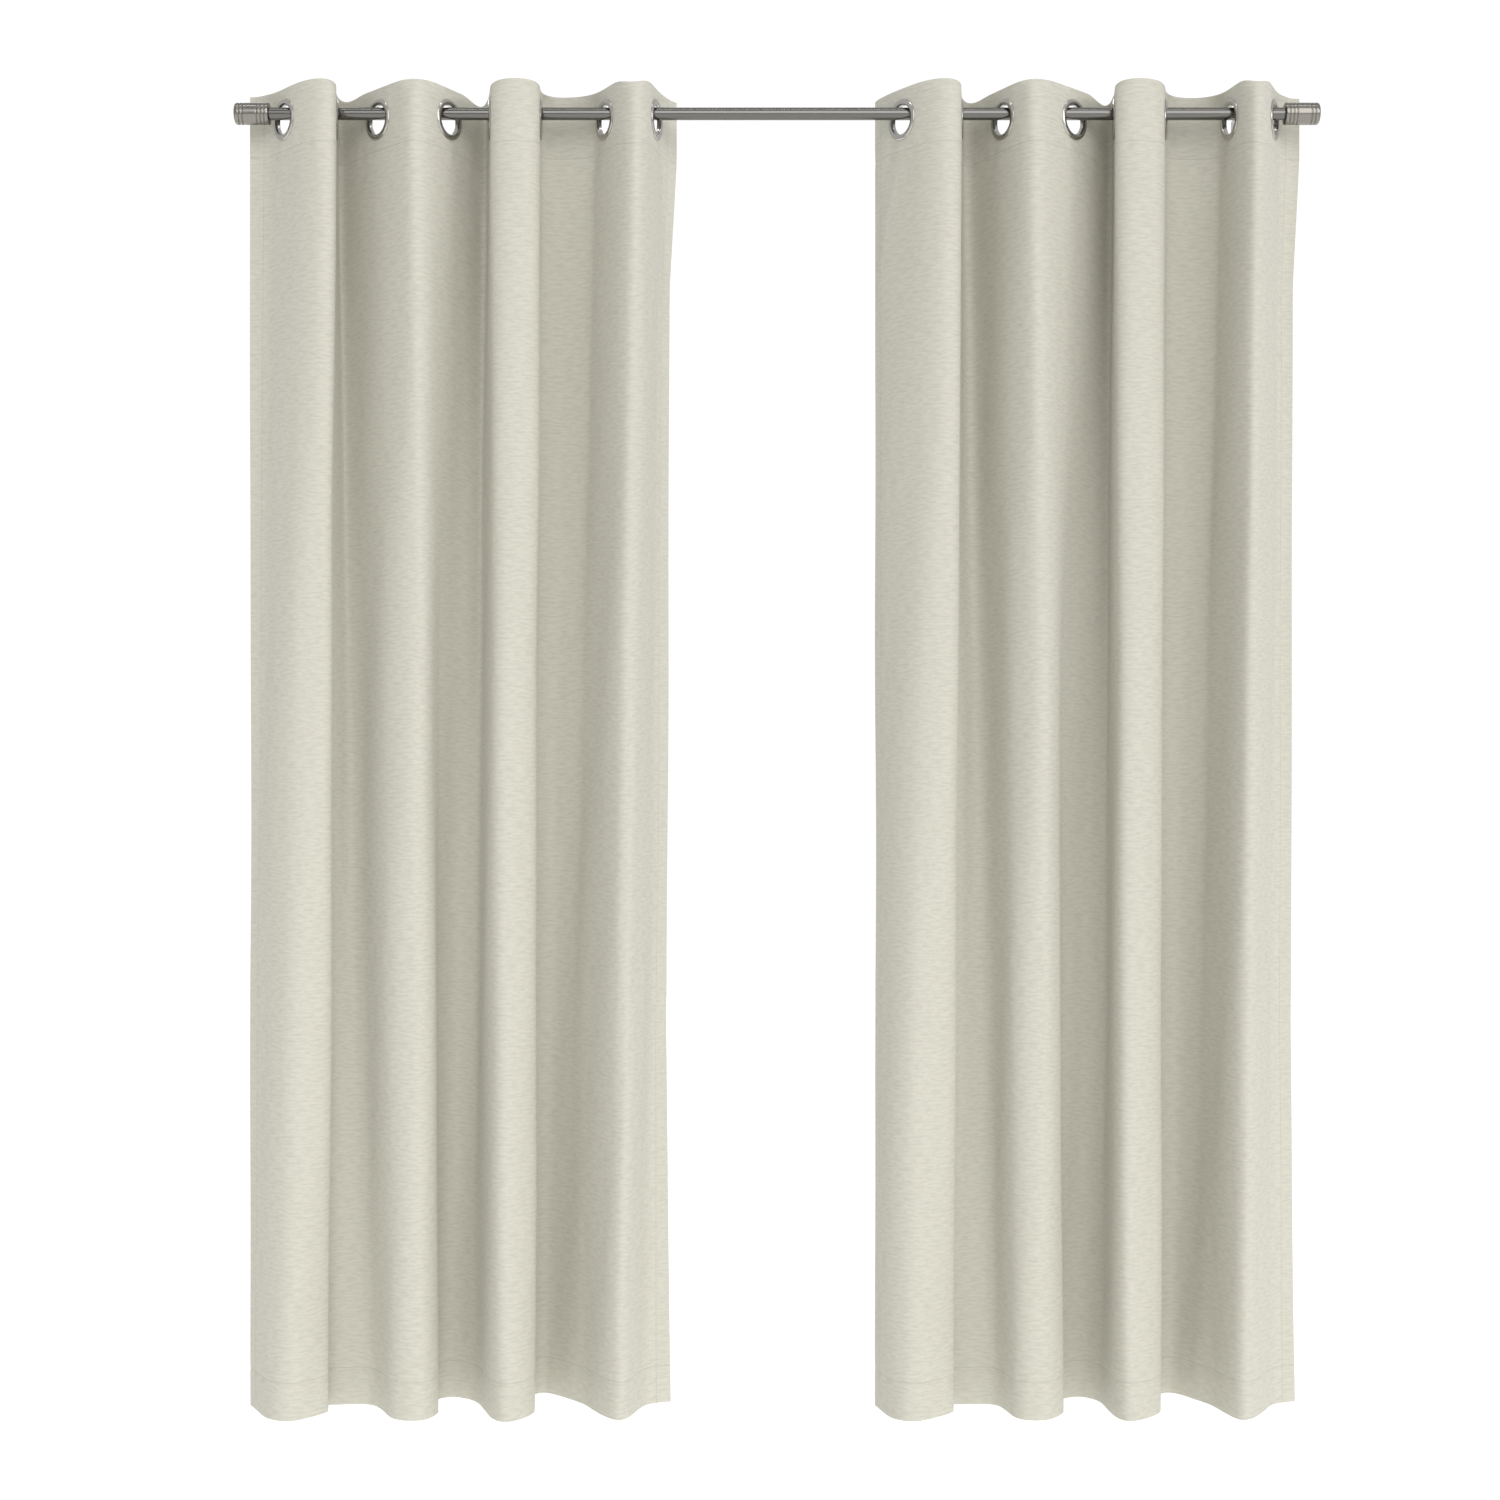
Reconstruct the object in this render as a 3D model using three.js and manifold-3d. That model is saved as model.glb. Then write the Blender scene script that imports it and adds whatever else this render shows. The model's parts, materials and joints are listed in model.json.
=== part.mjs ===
// Pair of eyelet curtains on a wall-mounted rod.
// Millimetres, +Z up, X along the rod, the room on the -Y side and the wall on the +Y side.
// The row's origin is the middle of the left bracket plate's back face.
// Inside the main group the rod's axis is the X axis and X = 0 is halfway along the rod.

import * as THREE from 'three';
import { mergeVertices } from 'three/addons/utils/BufferGeometryUtils.js';
import Module from 'manifold-3d';

const wasm = await Module();
wasm.setup();

// ---------- driving dimensions ----------

const GAP = 0.3; // clearance left between pieces that touch

const ROD_LENGTH = 1638; // between the finials
const ROD_RADIUS = 10;
const ROD_WALL = 1;
const ROD_TO_WALL = 100;

const FINIAL_LENGTH = 55;
const FINIAL_RADIUS = 17.5;
const FINIAL_EDGE = 4; // rounding of the outer end
const FINIAL_GROOVE_DEPTH = 0.8;
const FINIAL_GROOVE_WIDTH = 2;
const FINIAL_GROOVES = [8, 14, 37, 43, 49]; // distances from the outer end
const SPIGOT_RADIUS = 4.7;
const SPIGOT_LENGTH = 18;
const PLUG_LENGTH = 24;

const PLATE_WIDTH = 28;
const PLATE_HEIGHT = 75;
const PLATE_THICK = 3;
const PLATE_CORNER = 6;
const SCREW_SPREAD = 55; // between a plate's two screws
const SCREW_RADIUS = 2.3;
const SCREW_HEAD_RADIUS = 4.5;
const SCREW_HEAD_HEIGHT = 2.6;
const ARM_WIDTH = 12;
const ARM_HEIGHT = 10;
const CUP_WALL = 3.3;
const CUP_LIP = 4; // how far the cup's sides rise above the rod's axis
const LOCK_RADIUS = 2;
const LOCK_HEAD_RADIUS = 5.5;
const LOCK_HEAD_HEIGHT = 6;

const PANEL_WIDTH = 1372; // flat
const PANEL_HEIGHT = 2134;
const SIDE_MARGIN = 84; // flat, from a side edge to the nearest eyelet
const EYELETS = 8;
const CLOTH_THICK = 1.2;
const HEADER_HEIGHT = 100;
const HEADER_MARGIN = 4; // the stiffener stops short of the panel's edges
const STIFFENER_THICK = 1;

const EYELET_RADIUS = 32.5;
const EYELET_OPEN_RADIUS = 23;
const EYELET_BARREL_WALL = 1.5;
const EYELET_FLANGE_THICK = 2.6;
const EYELET_FLAT = 1.5; // cloth stays flat this far beyond an eyelet's rim
const EYELET_TO_FINIAL = 1.5; // clearance of the outermost eyelet's rim
const EYELET_TO_BRACKET = 6.7; // from the outermost eyelet's inner rim to the bracket's middle
const EYELET_ON_ROD = 0.6; // clearance of the most slanted eyelet where it hangs on the rod
const EYELET_BELOW_TOP = 50; // from the panel's top edge to an eyelet's middle

const FOLD_STEPS = 8;
const TAIL_STEPS = 4;
const HANDLE_HALVINGS = 40;
const DROP_STEPS = 45;
const RING_SEGMENTS = 18;
const ROUND_SEGMENTS = 20;
const CUP_SEGMENTS = 10;

// Each panel's eyelets from left to right. A spacing is a share of the flat distance between two
// eyelets. A heading is the cloth's angle to the rod in degrees, and the cloth crosses the rod
// towards the room at one eyelet and back towards the wall at the next.
const PANELS = {
  left: {
    spacing: [0.484, 0.395, 0.666, 0.387, 0.467, 0.61, 0.479],
    headings: [50, 101, 46.5, 61.3, 81.5, 94, 61.2, 77.3],
    firstTurn: 27, // how far the cloth has turned by each side edge
    lastTurn: -40,
  },
  right: {
    spacing: [0.553, 0.395, 0.666, 0.385, 0.469, 0.61, 0.415],
    headings: [55, 85.6, 62.5, 45, 98, 77.4, 78, 66],
    firstTurn: -10,
    lastTurn: -40,
  },
};

// ---------- sizes that follow ----------

const FLAT_PITCH = (PANEL_WIDTH - 2 * SIDE_MARGIN) / (EYELETS - 1);
const FLAT_REACH = EYELET_RADIUS + EYELET_FLAT; // straight cloth each side of an eyelet's middle
const BARREL_RADIUS = EYELET_OPEN_RADIUS + EYELET_BARREL_WALL;
const HOLE_RADIUS = BARREL_RADIUS + GAP;
const FRONT_SEAT = CLOTH_THICK / 2 + GAP; // from the cloth's middle to the front flange
const FRONT_RIM = FRONT_SEAT + EYELET_FLANGE_THICK / 3;
const STIFFENER_FRONT = -CLOTH_THICK / 2 - GAP;
const STIFFENER_BACK = STIFFENER_FRONT - STIFFENER_THICK;
const BACK_SEAT = STIFFENER_BACK - GAP;
const EYELET_DROP = hangingDrop(mostSlanted([...PANELS.left.headings, ...PANELS.right.headings]));
const PANEL_TOP = EYELET_BELOW_TOP - EYELET_DROP;
const OUTER_SLANT = mostSlanted([PANELS.left.headings[0], PANELS.right.headings[EYELETS - 1]]);
const OUTER_SPAN = 2 * EYELET_RADIUS * Math.cos(OUTER_SLANT);
const BRACKET_INSET = EYELET_TO_FINIAL + OUTER_SPAN + EYELET_TO_BRACKET;
const BRACKET_X = ROD_LENGTH / 2 - BRACKET_INSET;
const ROD_ABOVE_PLATE = ARM_HEIGHT / 2 + CUP_WALL + GAP + ROD_RADIUS;

// The heading that lies nearest to the rod's own direction, in radians.
function mostSlanted(headings) {
  const slants = headings.map((heading) => Math.min(heading, 180 - heading));
  return THREE.MathUtils.degToRad(Math.min(...slants));
}

// How far an eyelet's middle hangs below the rod's axis. In the plane of a slanted eyelet the rod
// is an ellipse, which the eyelet's thickness shifts sideways. The eyelet drops until the ellipse
// comes within the clearance of its opening.
function hangingDrop(slant) {
  const room = EYELET_OPEN_RADIUS - EYELET_ON_ROD;
  const shift = (EYELET_FLANGE_THICK - BACK_SEAT) / Math.tan(slant);
  let drop = room;
  for (let step = 0; step <= DROP_STEPS; step += 1) {
    const angle = (step / DROP_STEPS) * (Math.PI / 2);
    const across = (ROD_RADIUS / Math.sin(slant)) * Math.cos(angle) + shift;
    const height = Math.sqrt(Math.max(room * room - across * across, 0));
    drop = Math.min(drop, height - ROD_RADIUS * Math.sin(angle));
  }
  return drop;
}

// ---------- helpers ----------

const radians = THREE.MathUtils.degToRad;

function mesh(name, geometry, material) {
  const piece = new THREE.Mesh(geometry, new THREE.MeshStandardMaterial(material));
  piece.name = name;
  return piece;
}

const CLOTH_MATERIAL = { color: 0xcfcdbb, roughness: 0.95, metalness: 0 };
const STIFFENER_MATERIAL = { color: 0xe6e4da, roughness: 0.9, metalness: 0 };
const NICKEL_MATERIAL = { color: 0x8f8d86, roughness: 0.35, metalness: 1 };
const STEEL_MATERIAL = { color: 0x8a8a88, roughness: 0.4, metalness: 1 };
const NYLON_MATERIAL = { color: 0x2f2f31, roughness: 0.7, metalness: 0 };

function toSolid(geometry) {
  const bare = geometry.clone();
  bare.deleteAttribute('normal');
  bare.deleteAttribute('uv');
  const welded = mergeVertices(bare, 1e-4);
  return new wasm.Manifold(new wasm.Mesh({
    numProp: 3,
    vertProperties: new Float32Array(welded.attributes.position.array),
    triVerts: new Uint32Array(welded.index.array),
  }));
}

function toGeometry(solid) {
  const { vertProperties, triVerts } = solid.getMesh();
  const geometry = new THREE.BufferGeometry();
  geometry.setAttribute('position', new THREE.BufferAttribute(vertProperties, 3));
  geometry.setIndex(new THREE.BufferAttribute(triVerts, 1));
  geometry.computeVertexNormals();
  return geometry;
}

// A turned solid about Y from [radius, height] pairs that go round the section counterclockwise.
function turned(section, segments) {
  const points = section.map(([radius, height]) => new THREE.Vector2(radius, height));
  points.push(points[0].clone());
  return new THREE.LatheGeometry(points, segments);
}

// ---------- the panel's line of folds ----------

// An eyelet's distance along the rod, and the cloth's direction where it crosses the rod.
function eyeletPlaces(side) {
  const { spacing, headings } = PANELS[side];
  const places = [0];
  for (const share of spacing) {
    places.push(places[places.length - 1] + share * FLAT_PITCH);
  }
  const outer = side === 'left' ? 0 : EYELETS - 1;
  const outward = side === 'left' ? -1 : 1;
  const lean = radians(headings[outer]);
  const reach = EYELET_RADIUS * Math.cos(lean) + FRONT_RIM * Math.sin(lean);
  const outerX = outward * (ROD_LENGTH / 2 - EYELET_TO_FINIAL - reach);
  return places.map((place, index) => ({
    x: outerX + place - places[outer],
    angle: radians(index % 2 === 0 ? -headings[index] : headings[index]),
  }));
}

function along(point, angle, distance) {
  return new THREE.Vector2(
    point.x + distance * Math.cos(angle),
    point.y + distance * Math.sin(angle),
  );
}

// A smooth fold between two flat stretches, with its handles set so that its length is the
// cloth's own flat length.
function foldPoints(start, startAngle, end, endAngle, length) {
  let low = 0;
  let high = 2 * length;
  let curve = null;
  for (let step = 0; step < HANDLE_HALVINGS; step += 1) {
    const handle = (low + high) / 2;
    curve = new THREE.CubicBezierCurve(
      start,
      along(start, startAngle, handle),
      along(end, endAngle, -handle),
      end,
    );
    if (curve.getLength() < length) {
      low = handle;
    } else {
      high = handle;
    }
  }
  return curve.getPoints(FOLD_STEPS).slice(1, -1);
}

// The loose cloth beyond the last eyelet, which turns steadily from one angle to another.
function tailPoints(start, angle, turn, outward) {
  const length = SIDE_MARGIN - FLAT_REACH;
  const points = [];
  let point = start;
  for (let step = 0; step < TAIL_STEPS; step += 1) {
    const heading = angle + turn * (step + 0.5) / TAIL_STEPS;
    point = along(point, heading, outward * length / TAIL_STEPS);
    points.push(point);
  }
  return points;
}

// The cloth's middle line from the panel's left edge to its right edge.
function panelLine(side) {
  const eyelets = eyeletPlaces(side);
  const { firstTurn, lastTurn } = PANELS[side];
  const first = eyelets[0];
  const line = [];
  for (let index = 0; index < EYELETS; index += 1) {
    const { x, angle } = eyelets[index];
    const middle = new THREE.Vector2(x, 0);
    const flatStart = along(middle, angle, -FLAT_REACH);
    const flatEnd = along(middle, angle, FLAT_REACH);
    if (index === 0) {
      line.push(...tailPoints(flatStart, first.angle, radians(firstTurn), -1).reverse());
    }
    line.push(flatStart, flatEnd);
    if (index < EYELETS - 1) {
      const next = eyelets[index + 1];
      const nextStart = along(new THREE.Vector2(next.x, 0), next.angle, -FLAT_REACH);
      const length = FLAT_PITCH - 2 * FLAT_REACH;
      line.push(...foldPoints(flatEnd, angle, nextStart, next.angle, length));
    } else {
      line.push(...tailPoints(flatEnd, angle, radians(lastTurn), 1));
    }
  }
  return line;
}

// The line moved sideways: towards the room for a positive distance.
function moved(line, distance) {
  return line.map((point, index) => {
    const before = line[Math.max(index - 1, 0)];
    const after = line[Math.min(index + 1, line.length - 1)];
    const into = point.clone().sub(before).normalize();
    const out = after.clone().sub(point).normalize();
    const mean = into.clone().add(out).normalize();
    const normal = new THREE.Vector2(mean.y, -mean.x);
    const edge = index === 0 ? out : into;
    const stretch = 1 / Math.max(mean.dot(edge), 0.5);
    return point.clone().addScaledVector(normal, distance * stretch);
  });
}

// A standing sheet that follows the line, with a hole for each eyelet's barrel.
function sheetGeometry(side, line, front, back, bottom, top) {
  const outline = [...moved(line, front), ...moved(line, back).reverse()];
  const sheet = new THREE.ExtrudeGeometry(new THREE.Shape(outline), {
    depth: top - bottom,
    bevelEnabled: false,
  });
  sheet.translate(0, 0, bottom);
  let solid = toSolid(sheet);
  for (const { x, angle } of eyeletPlaces(side)) {
    solid = solid.subtract(toSolid(eyeletHole(x, angle)));
  }
  return toGeometry(solid);
}

function eyeletHole(x, angle) {
  const depth = 2 * EYELET_FLANGE_THICK;
  const hole = turned([[0, -depth], [HOLE_RADIUS, -depth], [HOLE_RADIUS, depth], [0, depth]],
    RING_SEGMENTS);
  hole.rotateX(Math.PI);
  hole.rotateZ(angle);
  hole.translate(x, 0, -EYELET_DROP);
  return hole;
}

function clothPiece(side) {
  const half = CLOTH_THICK / 2;
  const bottom = PANEL_TOP - PANEL_HEIGHT;
  const geometry = sheetGeometry(side, panelLine(side), half, -half, bottom, PANEL_TOP);
  return mesh(`${side}_cloth`, geometry, CLOTH_MATERIAL);
}

// The stiff band sewn inside the top hem, behind the front layer of cloth.
function stiffenerPiece(side) {
  const line = panelLine(side);
  const inset = line.slice(1, -1);
  const geometry = sheetGeometry(side, inset, STIFFENER_FRONT, STIFFENER_BACK,
    PANEL_TOP - HEADER_HEIGHT + HEADER_MARGIN, PANEL_TOP - HEADER_MARGIN);
  return mesh(`${side}_header_stiffener`, geometry, STIFFENER_MATERIAL);
}

// ---------- eyelets ----------

// Front half: a domed flange with the barrel that passes through the header.
function frontEyeletGeometry() {
  const top = FRONT_SEAT + EYELET_FLANGE_THICK;
  const bottom = BACK_SEAT - EYELET_FLANGE_THICK;
  const crown = (EYELET_RADIUS + EYELET_OPEN_RADIUS) / 2;
  return turned([
    [EYELET_OPEN_RADIUS, bottom],
    [BARREL_RADIUS, bottom],
    [BARREL_RADIUS, FRONT_SEAT],
    [EYELET_RADIUS, FRONT_SEAT],
    [EYELET_RADIUS, FRONT_RIM],
    [crown, top],
    [EYELET_OPEN_RADIUS, FRONT_RIM],
  ], RING_SEGMENTS);
}

// Back half: the washer that clamps the header onto the barrel.
function backEyeletGeometry() {
  const bottom = BACK_SEAT - EYELET_FLANGE_THICK;
  const inner = BARREL_RADIUS + GAP;
  return turned([
    [inner, bottom],
    [(EYELET_RADIUS + inner) / 2, bottom],
    [EYELET_RADIUS, BACK_SEAT - EYELET_FLANGE_THICK / 3],
    [EYELET_RADIUS, BACK_SEAT],
    [inner, BACK_SEAT],
  ], RING_SEGMENTS);
}

function eyeletPieces(side) {
  const pieces = [];
  eyeletPlaces(side).forEach(({ x, angle }, index) => {
    const name = `${side}_eyelet_${index + 1}`;
    const halves = [
      mesh(`${name}_front`, frontEyeletGeometry(), NICKEL_MATERIAL),
      mesh(`${name}_back`, backEyeletGeometry(), NICKEL_MATERIAL),
    ];
    for (const half of halves) {
      half.rotation.z = angle + Math.PI;
      half.position.set(x, 0, -EYELET_DROP);
      pieces.push(half);
    }
  });
  return pieces;
}

// ---------- rod and finials ----------

function rodPiece() {
  const half = ROD_LENGTH / 2;
  const inner = ROD_RADIUS - ROD_WALL;
  const tube = turned([[inner, -half], [ROD_RADIUS, -half], [ROD_RADIUS, half], [inner, half]],
    ROUND_SEGMENTS);
  tube.rotateZ(-Math.PI / 2);
  return mesh('rod_tube', tube, STEEL_MATERIAL);
}

// The nylon plug inside the tube's end, which grips the finial's spigot.
function plugPiece(side, outward) {
  const inner = SPIGOT_RADIUS + GAP;
  const outer = ROD_RADIUS - ROD_WALL - GAP;
  const plug = turned([[inner, -PLUG_LENGTH], [outer, -PLUG_LENGTH], [outer, 0], [inner, 0]],
    ROUND_SEGMENTS);
  plug.rotateZ(-outward * Math.PI / 2);
  const piece = mesh(`${side}_finial_plug`, plug, NYLON_MATERIAL);
  piece.position.x = outward * ROD_LENGTH / 2;
  return piece;
}

// The finial's outline from its inner face outwards, with its turned grooves.
function finialSection() {
  const section = [
    [0, -SPIGOT_LENGTH],
    [SPIGOT_RADIUS, -SPIGOT_LENGTH],
    [SPIGOT_RADIUS, GAP],
    [FINIAL_RADIUS - FINIAL_GROOVE_DEPTH, GAP],
    [FINIAL_RADIUS, GAP + FINIAL_GROOVE_DEPTH],
  ];
  for (const distance of [...FINIAL_GROOVES].reverse()) {
    const middle = GAP + FINIAL_LENGTH - distance;
    section.push([FINIAL_RADIUS, middle - FINIAL_GROOVE_WIDTH / 2]);
    section.push([FINIAL_RADIUS - FINIAL_GROOVE_DEPTH, middle]);
    section.push([FINIAL_RADIUS, middle + FINIAL_GROOVE_WIDTH / 2]);
  }
  const end = GAP + FINIAL_LENGTH;
  const slope = FINIAL_EDGE * (1 - Math.SQRT1_2);
  section.push([FINIAL_RADIUS, end - FINIAL_EDGE]);
  section.push([FINIAL_RADIUS - slope, end - slope]);
  section.push([FINIAL_RADIUS - FINIAL_EDGE, end]);
  section.push([0, end]);
  return section;
}

function finialPiece(side, outward) {
  const finial = turned(finialSection(), ROUND_SEGMENTS);
  finial.rotateZ(-outward * Math.PI / 2);
  const piece = mesh(`${side}_finial`, finial, NICKEL_MATERIAL);
  piece.position.x = outward * ROD_LENGTH / 2;
  return piece;
}

// ---------- brackets, built about the middle of the plate's back face ----------

function platePiece(side) {
  const half = PLATE_WIDTH / 2;
  const rise = PLATE_HEIGHT / 2;
  const corner = PLATE_CORNER;
  const shape = new THREE.Shape();
  shape.moveTo(-half + corner, -rise);
  shape.lineTo(half - corner, -rise);
  shape.quadraticCurveTo(half, -rise, half, -rise + corner);
  shape.lineTo(half, rise - corner);
  shape.quadraticCurveTo(half, rise, half - corner, rise);
  shape.lineTo(-half + corner, rise);
  shape.quadraticCurveTo(-half, rise, -half, rise - corner);
  shape.lineTo(-half, -rise + corner);
  shape.quadraticCurveTo(-half, -rise, -half + corner, -rise);
  for (const end of [-1, 1]) {
    const hole = new THREE.Path();
    hole.absarc(0, end * SCREW_SPREAD / 2, SCREW_RADIUS + GAP, 0, 2 * Math.PI);
    shape.holes.push(hole);
  }
  const plate = new THREE.ExtrudeGeometry(shape, {
    depth: PLATE_THICK,
    bevelEnabled: false,
    curveSegments: 6,
  });
  plate.rotateX(Math.PI / 2);
  return mesh(`${side}_wall_plate`, plate, STEEL_MATERIAL);
}

function wallScrewPiece(side, end) {
  const front = PLATE_THICK + GAP;
  const screw = turned([
    [0, GAP],
    [SCREW_RADIUS, GAP],
    [SCREW_RADIUS, front],
    [SCREW_HEAD_RADIUS, front],
    [SCREW_HEAD_RADIUS, front + SCREW_HEAD_HEIGHT / 2],
    [SCREW_HEAD_RADIUS / 2, front + SCREW_HEAD_HEIGHT],
    [0, front + SCREW_HEAD_HEIGHT],
  ], ROUND_SEGMENTS);
  screw.rotateX(Math.PI);
  const label = end > 0 ? 'upper' : 'lower';
  const piece = mesh(`${side}_wall_screw_${label}`, screw, STEEL_MATERIAL);
  piece.position.z = end * SCREW_SPREAD / 2;
  return piece;
}

// The U-shaped cup that the rod lies in, drawn about the rod's axis.
function cupGeometry() {
  const inner = ROD_RADIUS + GAP;
  const outer = inner + CUP_WALL;
  const shape = new THREE.Shape();
  shape.moveTo(-outer, CUP_LIP);
  shape.lineTo(-outer, 0);
  shape.absarc(0, 0, outer, Math.PI, 2 * Math.PI, false);
  shape.lineTo(outer, CUP_LIP);
  shape.lineTo(inner, CUP_LIP);
  shape.lineTo(inner, 0);
  shape.absarc(0, 0, inner, 2 * Math.PI, Math.PI, true);
  shape.lineTo(-inner, CUP_LIP);
  const cup = new THREE.ExtrudeGeometry(shape, {
    depth: ARM_WIDTH,
    bevelEnabled: false,
    curveSegments: CUP_SEGMENTS,
  });
  cup.translate(0, 0, -ARM_WIDTH / 2);
  cup.applyMatrix4(new THREE.Matrix4().makeBasis(
    new THREE.Vector3(0, 1, 0),
    new THREE.Vector3(0, 0, 1),
    new THREE.Vector3(1, 0, 0),
  ));
  cup.translate(0, -ROD_TO_WALL, ROD_ABOVE_PLATE);
  return cup;
}

function armPiece(side) {
  const back = -PLATE_THICK - GAP;
  const front = -ROD_TO_WALL - ARM_HEIGHT;
  const bar = new THREE.BoxGeometry(ARM_WIDTH, back - front, ARM_HEIGHT);
  bar.translate(0, (back + front) / 2, 0);
  // fills the space between the flat bar and the round cup
  const saddle = new THREE.BoxGeometry(ARM_WIDTH, 1.6 * ROD_RADIUS, CUP_WALL);
  saddle.translate(0, -ROD_TO_WALL, ARM_HEIGHT / 2 + CUP_WALL / 2);
  const room = turned([
    [0, -ROD_TO_WALL],
    [ROD_RADIUS + GAP, -ROD_TO_WALL],
    [ROD_RADIUS + GAP, ROD_TO_WALL],
    [0, ROD_TO_WALL],
  ], 2 * CUP_SEGMENTS);
  room.rotateZ(-Math.PI / 2);
  room.translate(0, -ROD_TO_WALL, ROD_ABOVE_PLATE);
  const hole = turned([
    [0, -ARM_HEIGHT],
    [LOCK_RADIUS + GAP, -ARM_HEIGHT],
    [LOCK_RADIUS + GAP, 2 * ARM_HEIGHT],
    [0, 2 * ARM_HEIGHT],
  ], ROUND_SEGMENTS);
  hole.rotateX(Math.PI / 2);
  hole.translate(0, -ROD_TO_WALL, 0);
  const solid = toSolid(bar)
    .add(toSolid(saddle))
    .add(toSolid(cupGeometry()))
    .subtract(toSolid(room))
    .subtract(toSolid(hole));
  return mesh(`${side}_bracket_arm`, toGeometry(solid), STEEL_MATERIAL);
}

// The thumb screw under the cup, which grips the rod.
function lockScrewPiece(side) {
  const seat = -ARM_HEIGHT / 2 - GAP;
  const tip = ROD_ABOVE_PLATE - ROD_RADIUS - GAP;
  const screw = turned([
    [0, seat - LOCK_HEAD_HEIGHT],
    [LOCK_HEAD_RADIUS, seat - LOCK_HEAD_HEIGHT],
    [LOCK_HEAD_RADIUS, seat],
    [LOCK_RADIUS, seat],
    [LOCK_RADIUS, tip],
    [0, tip],
  ], ROUND_SEGMENTS);
  screw.rotateX(Math.PI / 2);
  const piece = mesh(`${side}_lock_screw`, screw, STEEL_MATERIAL);
  piece.position.y = -ROD_TO_WALL;
  return piece;
}

function bracketGroup(side, x) {
  const group = new THREE.Group();
  group.position.x = x;
  group.add(
    platePiece(side),
    armPiece(side),
    lockScrewPiece(side),
    wallScrewPiece(side, 1),
    wallScrewPiece(side, -1),
  );
  return group;
}

// ---------- assembly ----------

const curtains = new THREE.Group();
curtains.position.set(BRACKET_X, -ROD_TO_WALL, ROD_ABOVE_PLATE);
curtains.add(rodPiece());
for (const [side, outward] of [['left', -1], ['right', 1]]) {
  curtains.add(plugPiece(side, outward), finialPiece(side, outward));
  curtains.add(clothPiece(side), stiffenerPiece(side), ...eyeletPieces(side));
}

const part = new THREE.Group();
part.add(curtains, bracketGroup('left', 0), bracketGroup('right', 2 * BRACKET_X));

export default part;
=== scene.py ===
"""Fine pieces for a pair of eyelet curtains on a rod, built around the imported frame.

Metres, +Z up, X along the rod, the room on the -Y side and the wall on the +Y side.
"""

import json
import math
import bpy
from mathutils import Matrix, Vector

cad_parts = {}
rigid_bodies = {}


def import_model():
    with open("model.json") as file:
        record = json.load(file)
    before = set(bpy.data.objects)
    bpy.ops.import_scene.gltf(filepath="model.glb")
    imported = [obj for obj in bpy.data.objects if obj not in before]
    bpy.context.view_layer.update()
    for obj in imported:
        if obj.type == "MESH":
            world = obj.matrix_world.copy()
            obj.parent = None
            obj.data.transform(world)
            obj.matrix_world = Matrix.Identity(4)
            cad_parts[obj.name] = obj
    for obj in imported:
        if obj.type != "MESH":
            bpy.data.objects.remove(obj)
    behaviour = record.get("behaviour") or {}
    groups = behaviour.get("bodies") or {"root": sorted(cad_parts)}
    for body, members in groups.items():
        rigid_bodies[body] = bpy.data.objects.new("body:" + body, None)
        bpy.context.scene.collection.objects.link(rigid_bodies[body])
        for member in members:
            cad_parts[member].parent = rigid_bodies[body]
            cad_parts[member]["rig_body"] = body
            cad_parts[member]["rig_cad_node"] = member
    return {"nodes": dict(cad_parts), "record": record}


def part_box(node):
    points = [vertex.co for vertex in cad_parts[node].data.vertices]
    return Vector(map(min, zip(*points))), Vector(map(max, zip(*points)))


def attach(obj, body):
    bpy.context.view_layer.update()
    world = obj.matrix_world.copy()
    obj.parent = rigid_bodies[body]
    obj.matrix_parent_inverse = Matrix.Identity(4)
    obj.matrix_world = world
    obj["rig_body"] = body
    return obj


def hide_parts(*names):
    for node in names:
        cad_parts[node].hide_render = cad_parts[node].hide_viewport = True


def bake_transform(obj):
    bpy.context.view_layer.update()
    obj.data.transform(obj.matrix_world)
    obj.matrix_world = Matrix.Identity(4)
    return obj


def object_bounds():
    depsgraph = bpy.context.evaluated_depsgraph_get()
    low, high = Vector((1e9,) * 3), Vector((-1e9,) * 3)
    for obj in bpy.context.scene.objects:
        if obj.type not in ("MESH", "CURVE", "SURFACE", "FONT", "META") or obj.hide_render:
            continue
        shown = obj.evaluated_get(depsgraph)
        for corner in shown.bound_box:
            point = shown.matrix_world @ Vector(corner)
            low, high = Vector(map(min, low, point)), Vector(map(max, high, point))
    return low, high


bl_info = {
    "name": "Eyelet Curtains on a Rod",
    "version": (1, 0, 0),
    "blender": (4, 5, 0),
    "location": "View3D > Sidebar > Curtains",
    "description": "Builds two hanging eyelet curtains with their rod, finials and brackets",
    "category": "Add Mesh",
}

import bpy
import numpy as np
from mathutils import Matrix, Vector

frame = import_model()
cad_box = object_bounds()

MM = 0.001
SIDES = ("left", "right")
FIXED_BODY = "rod_and_brackets"

# ---------- the panels as they were cut ----------

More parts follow.
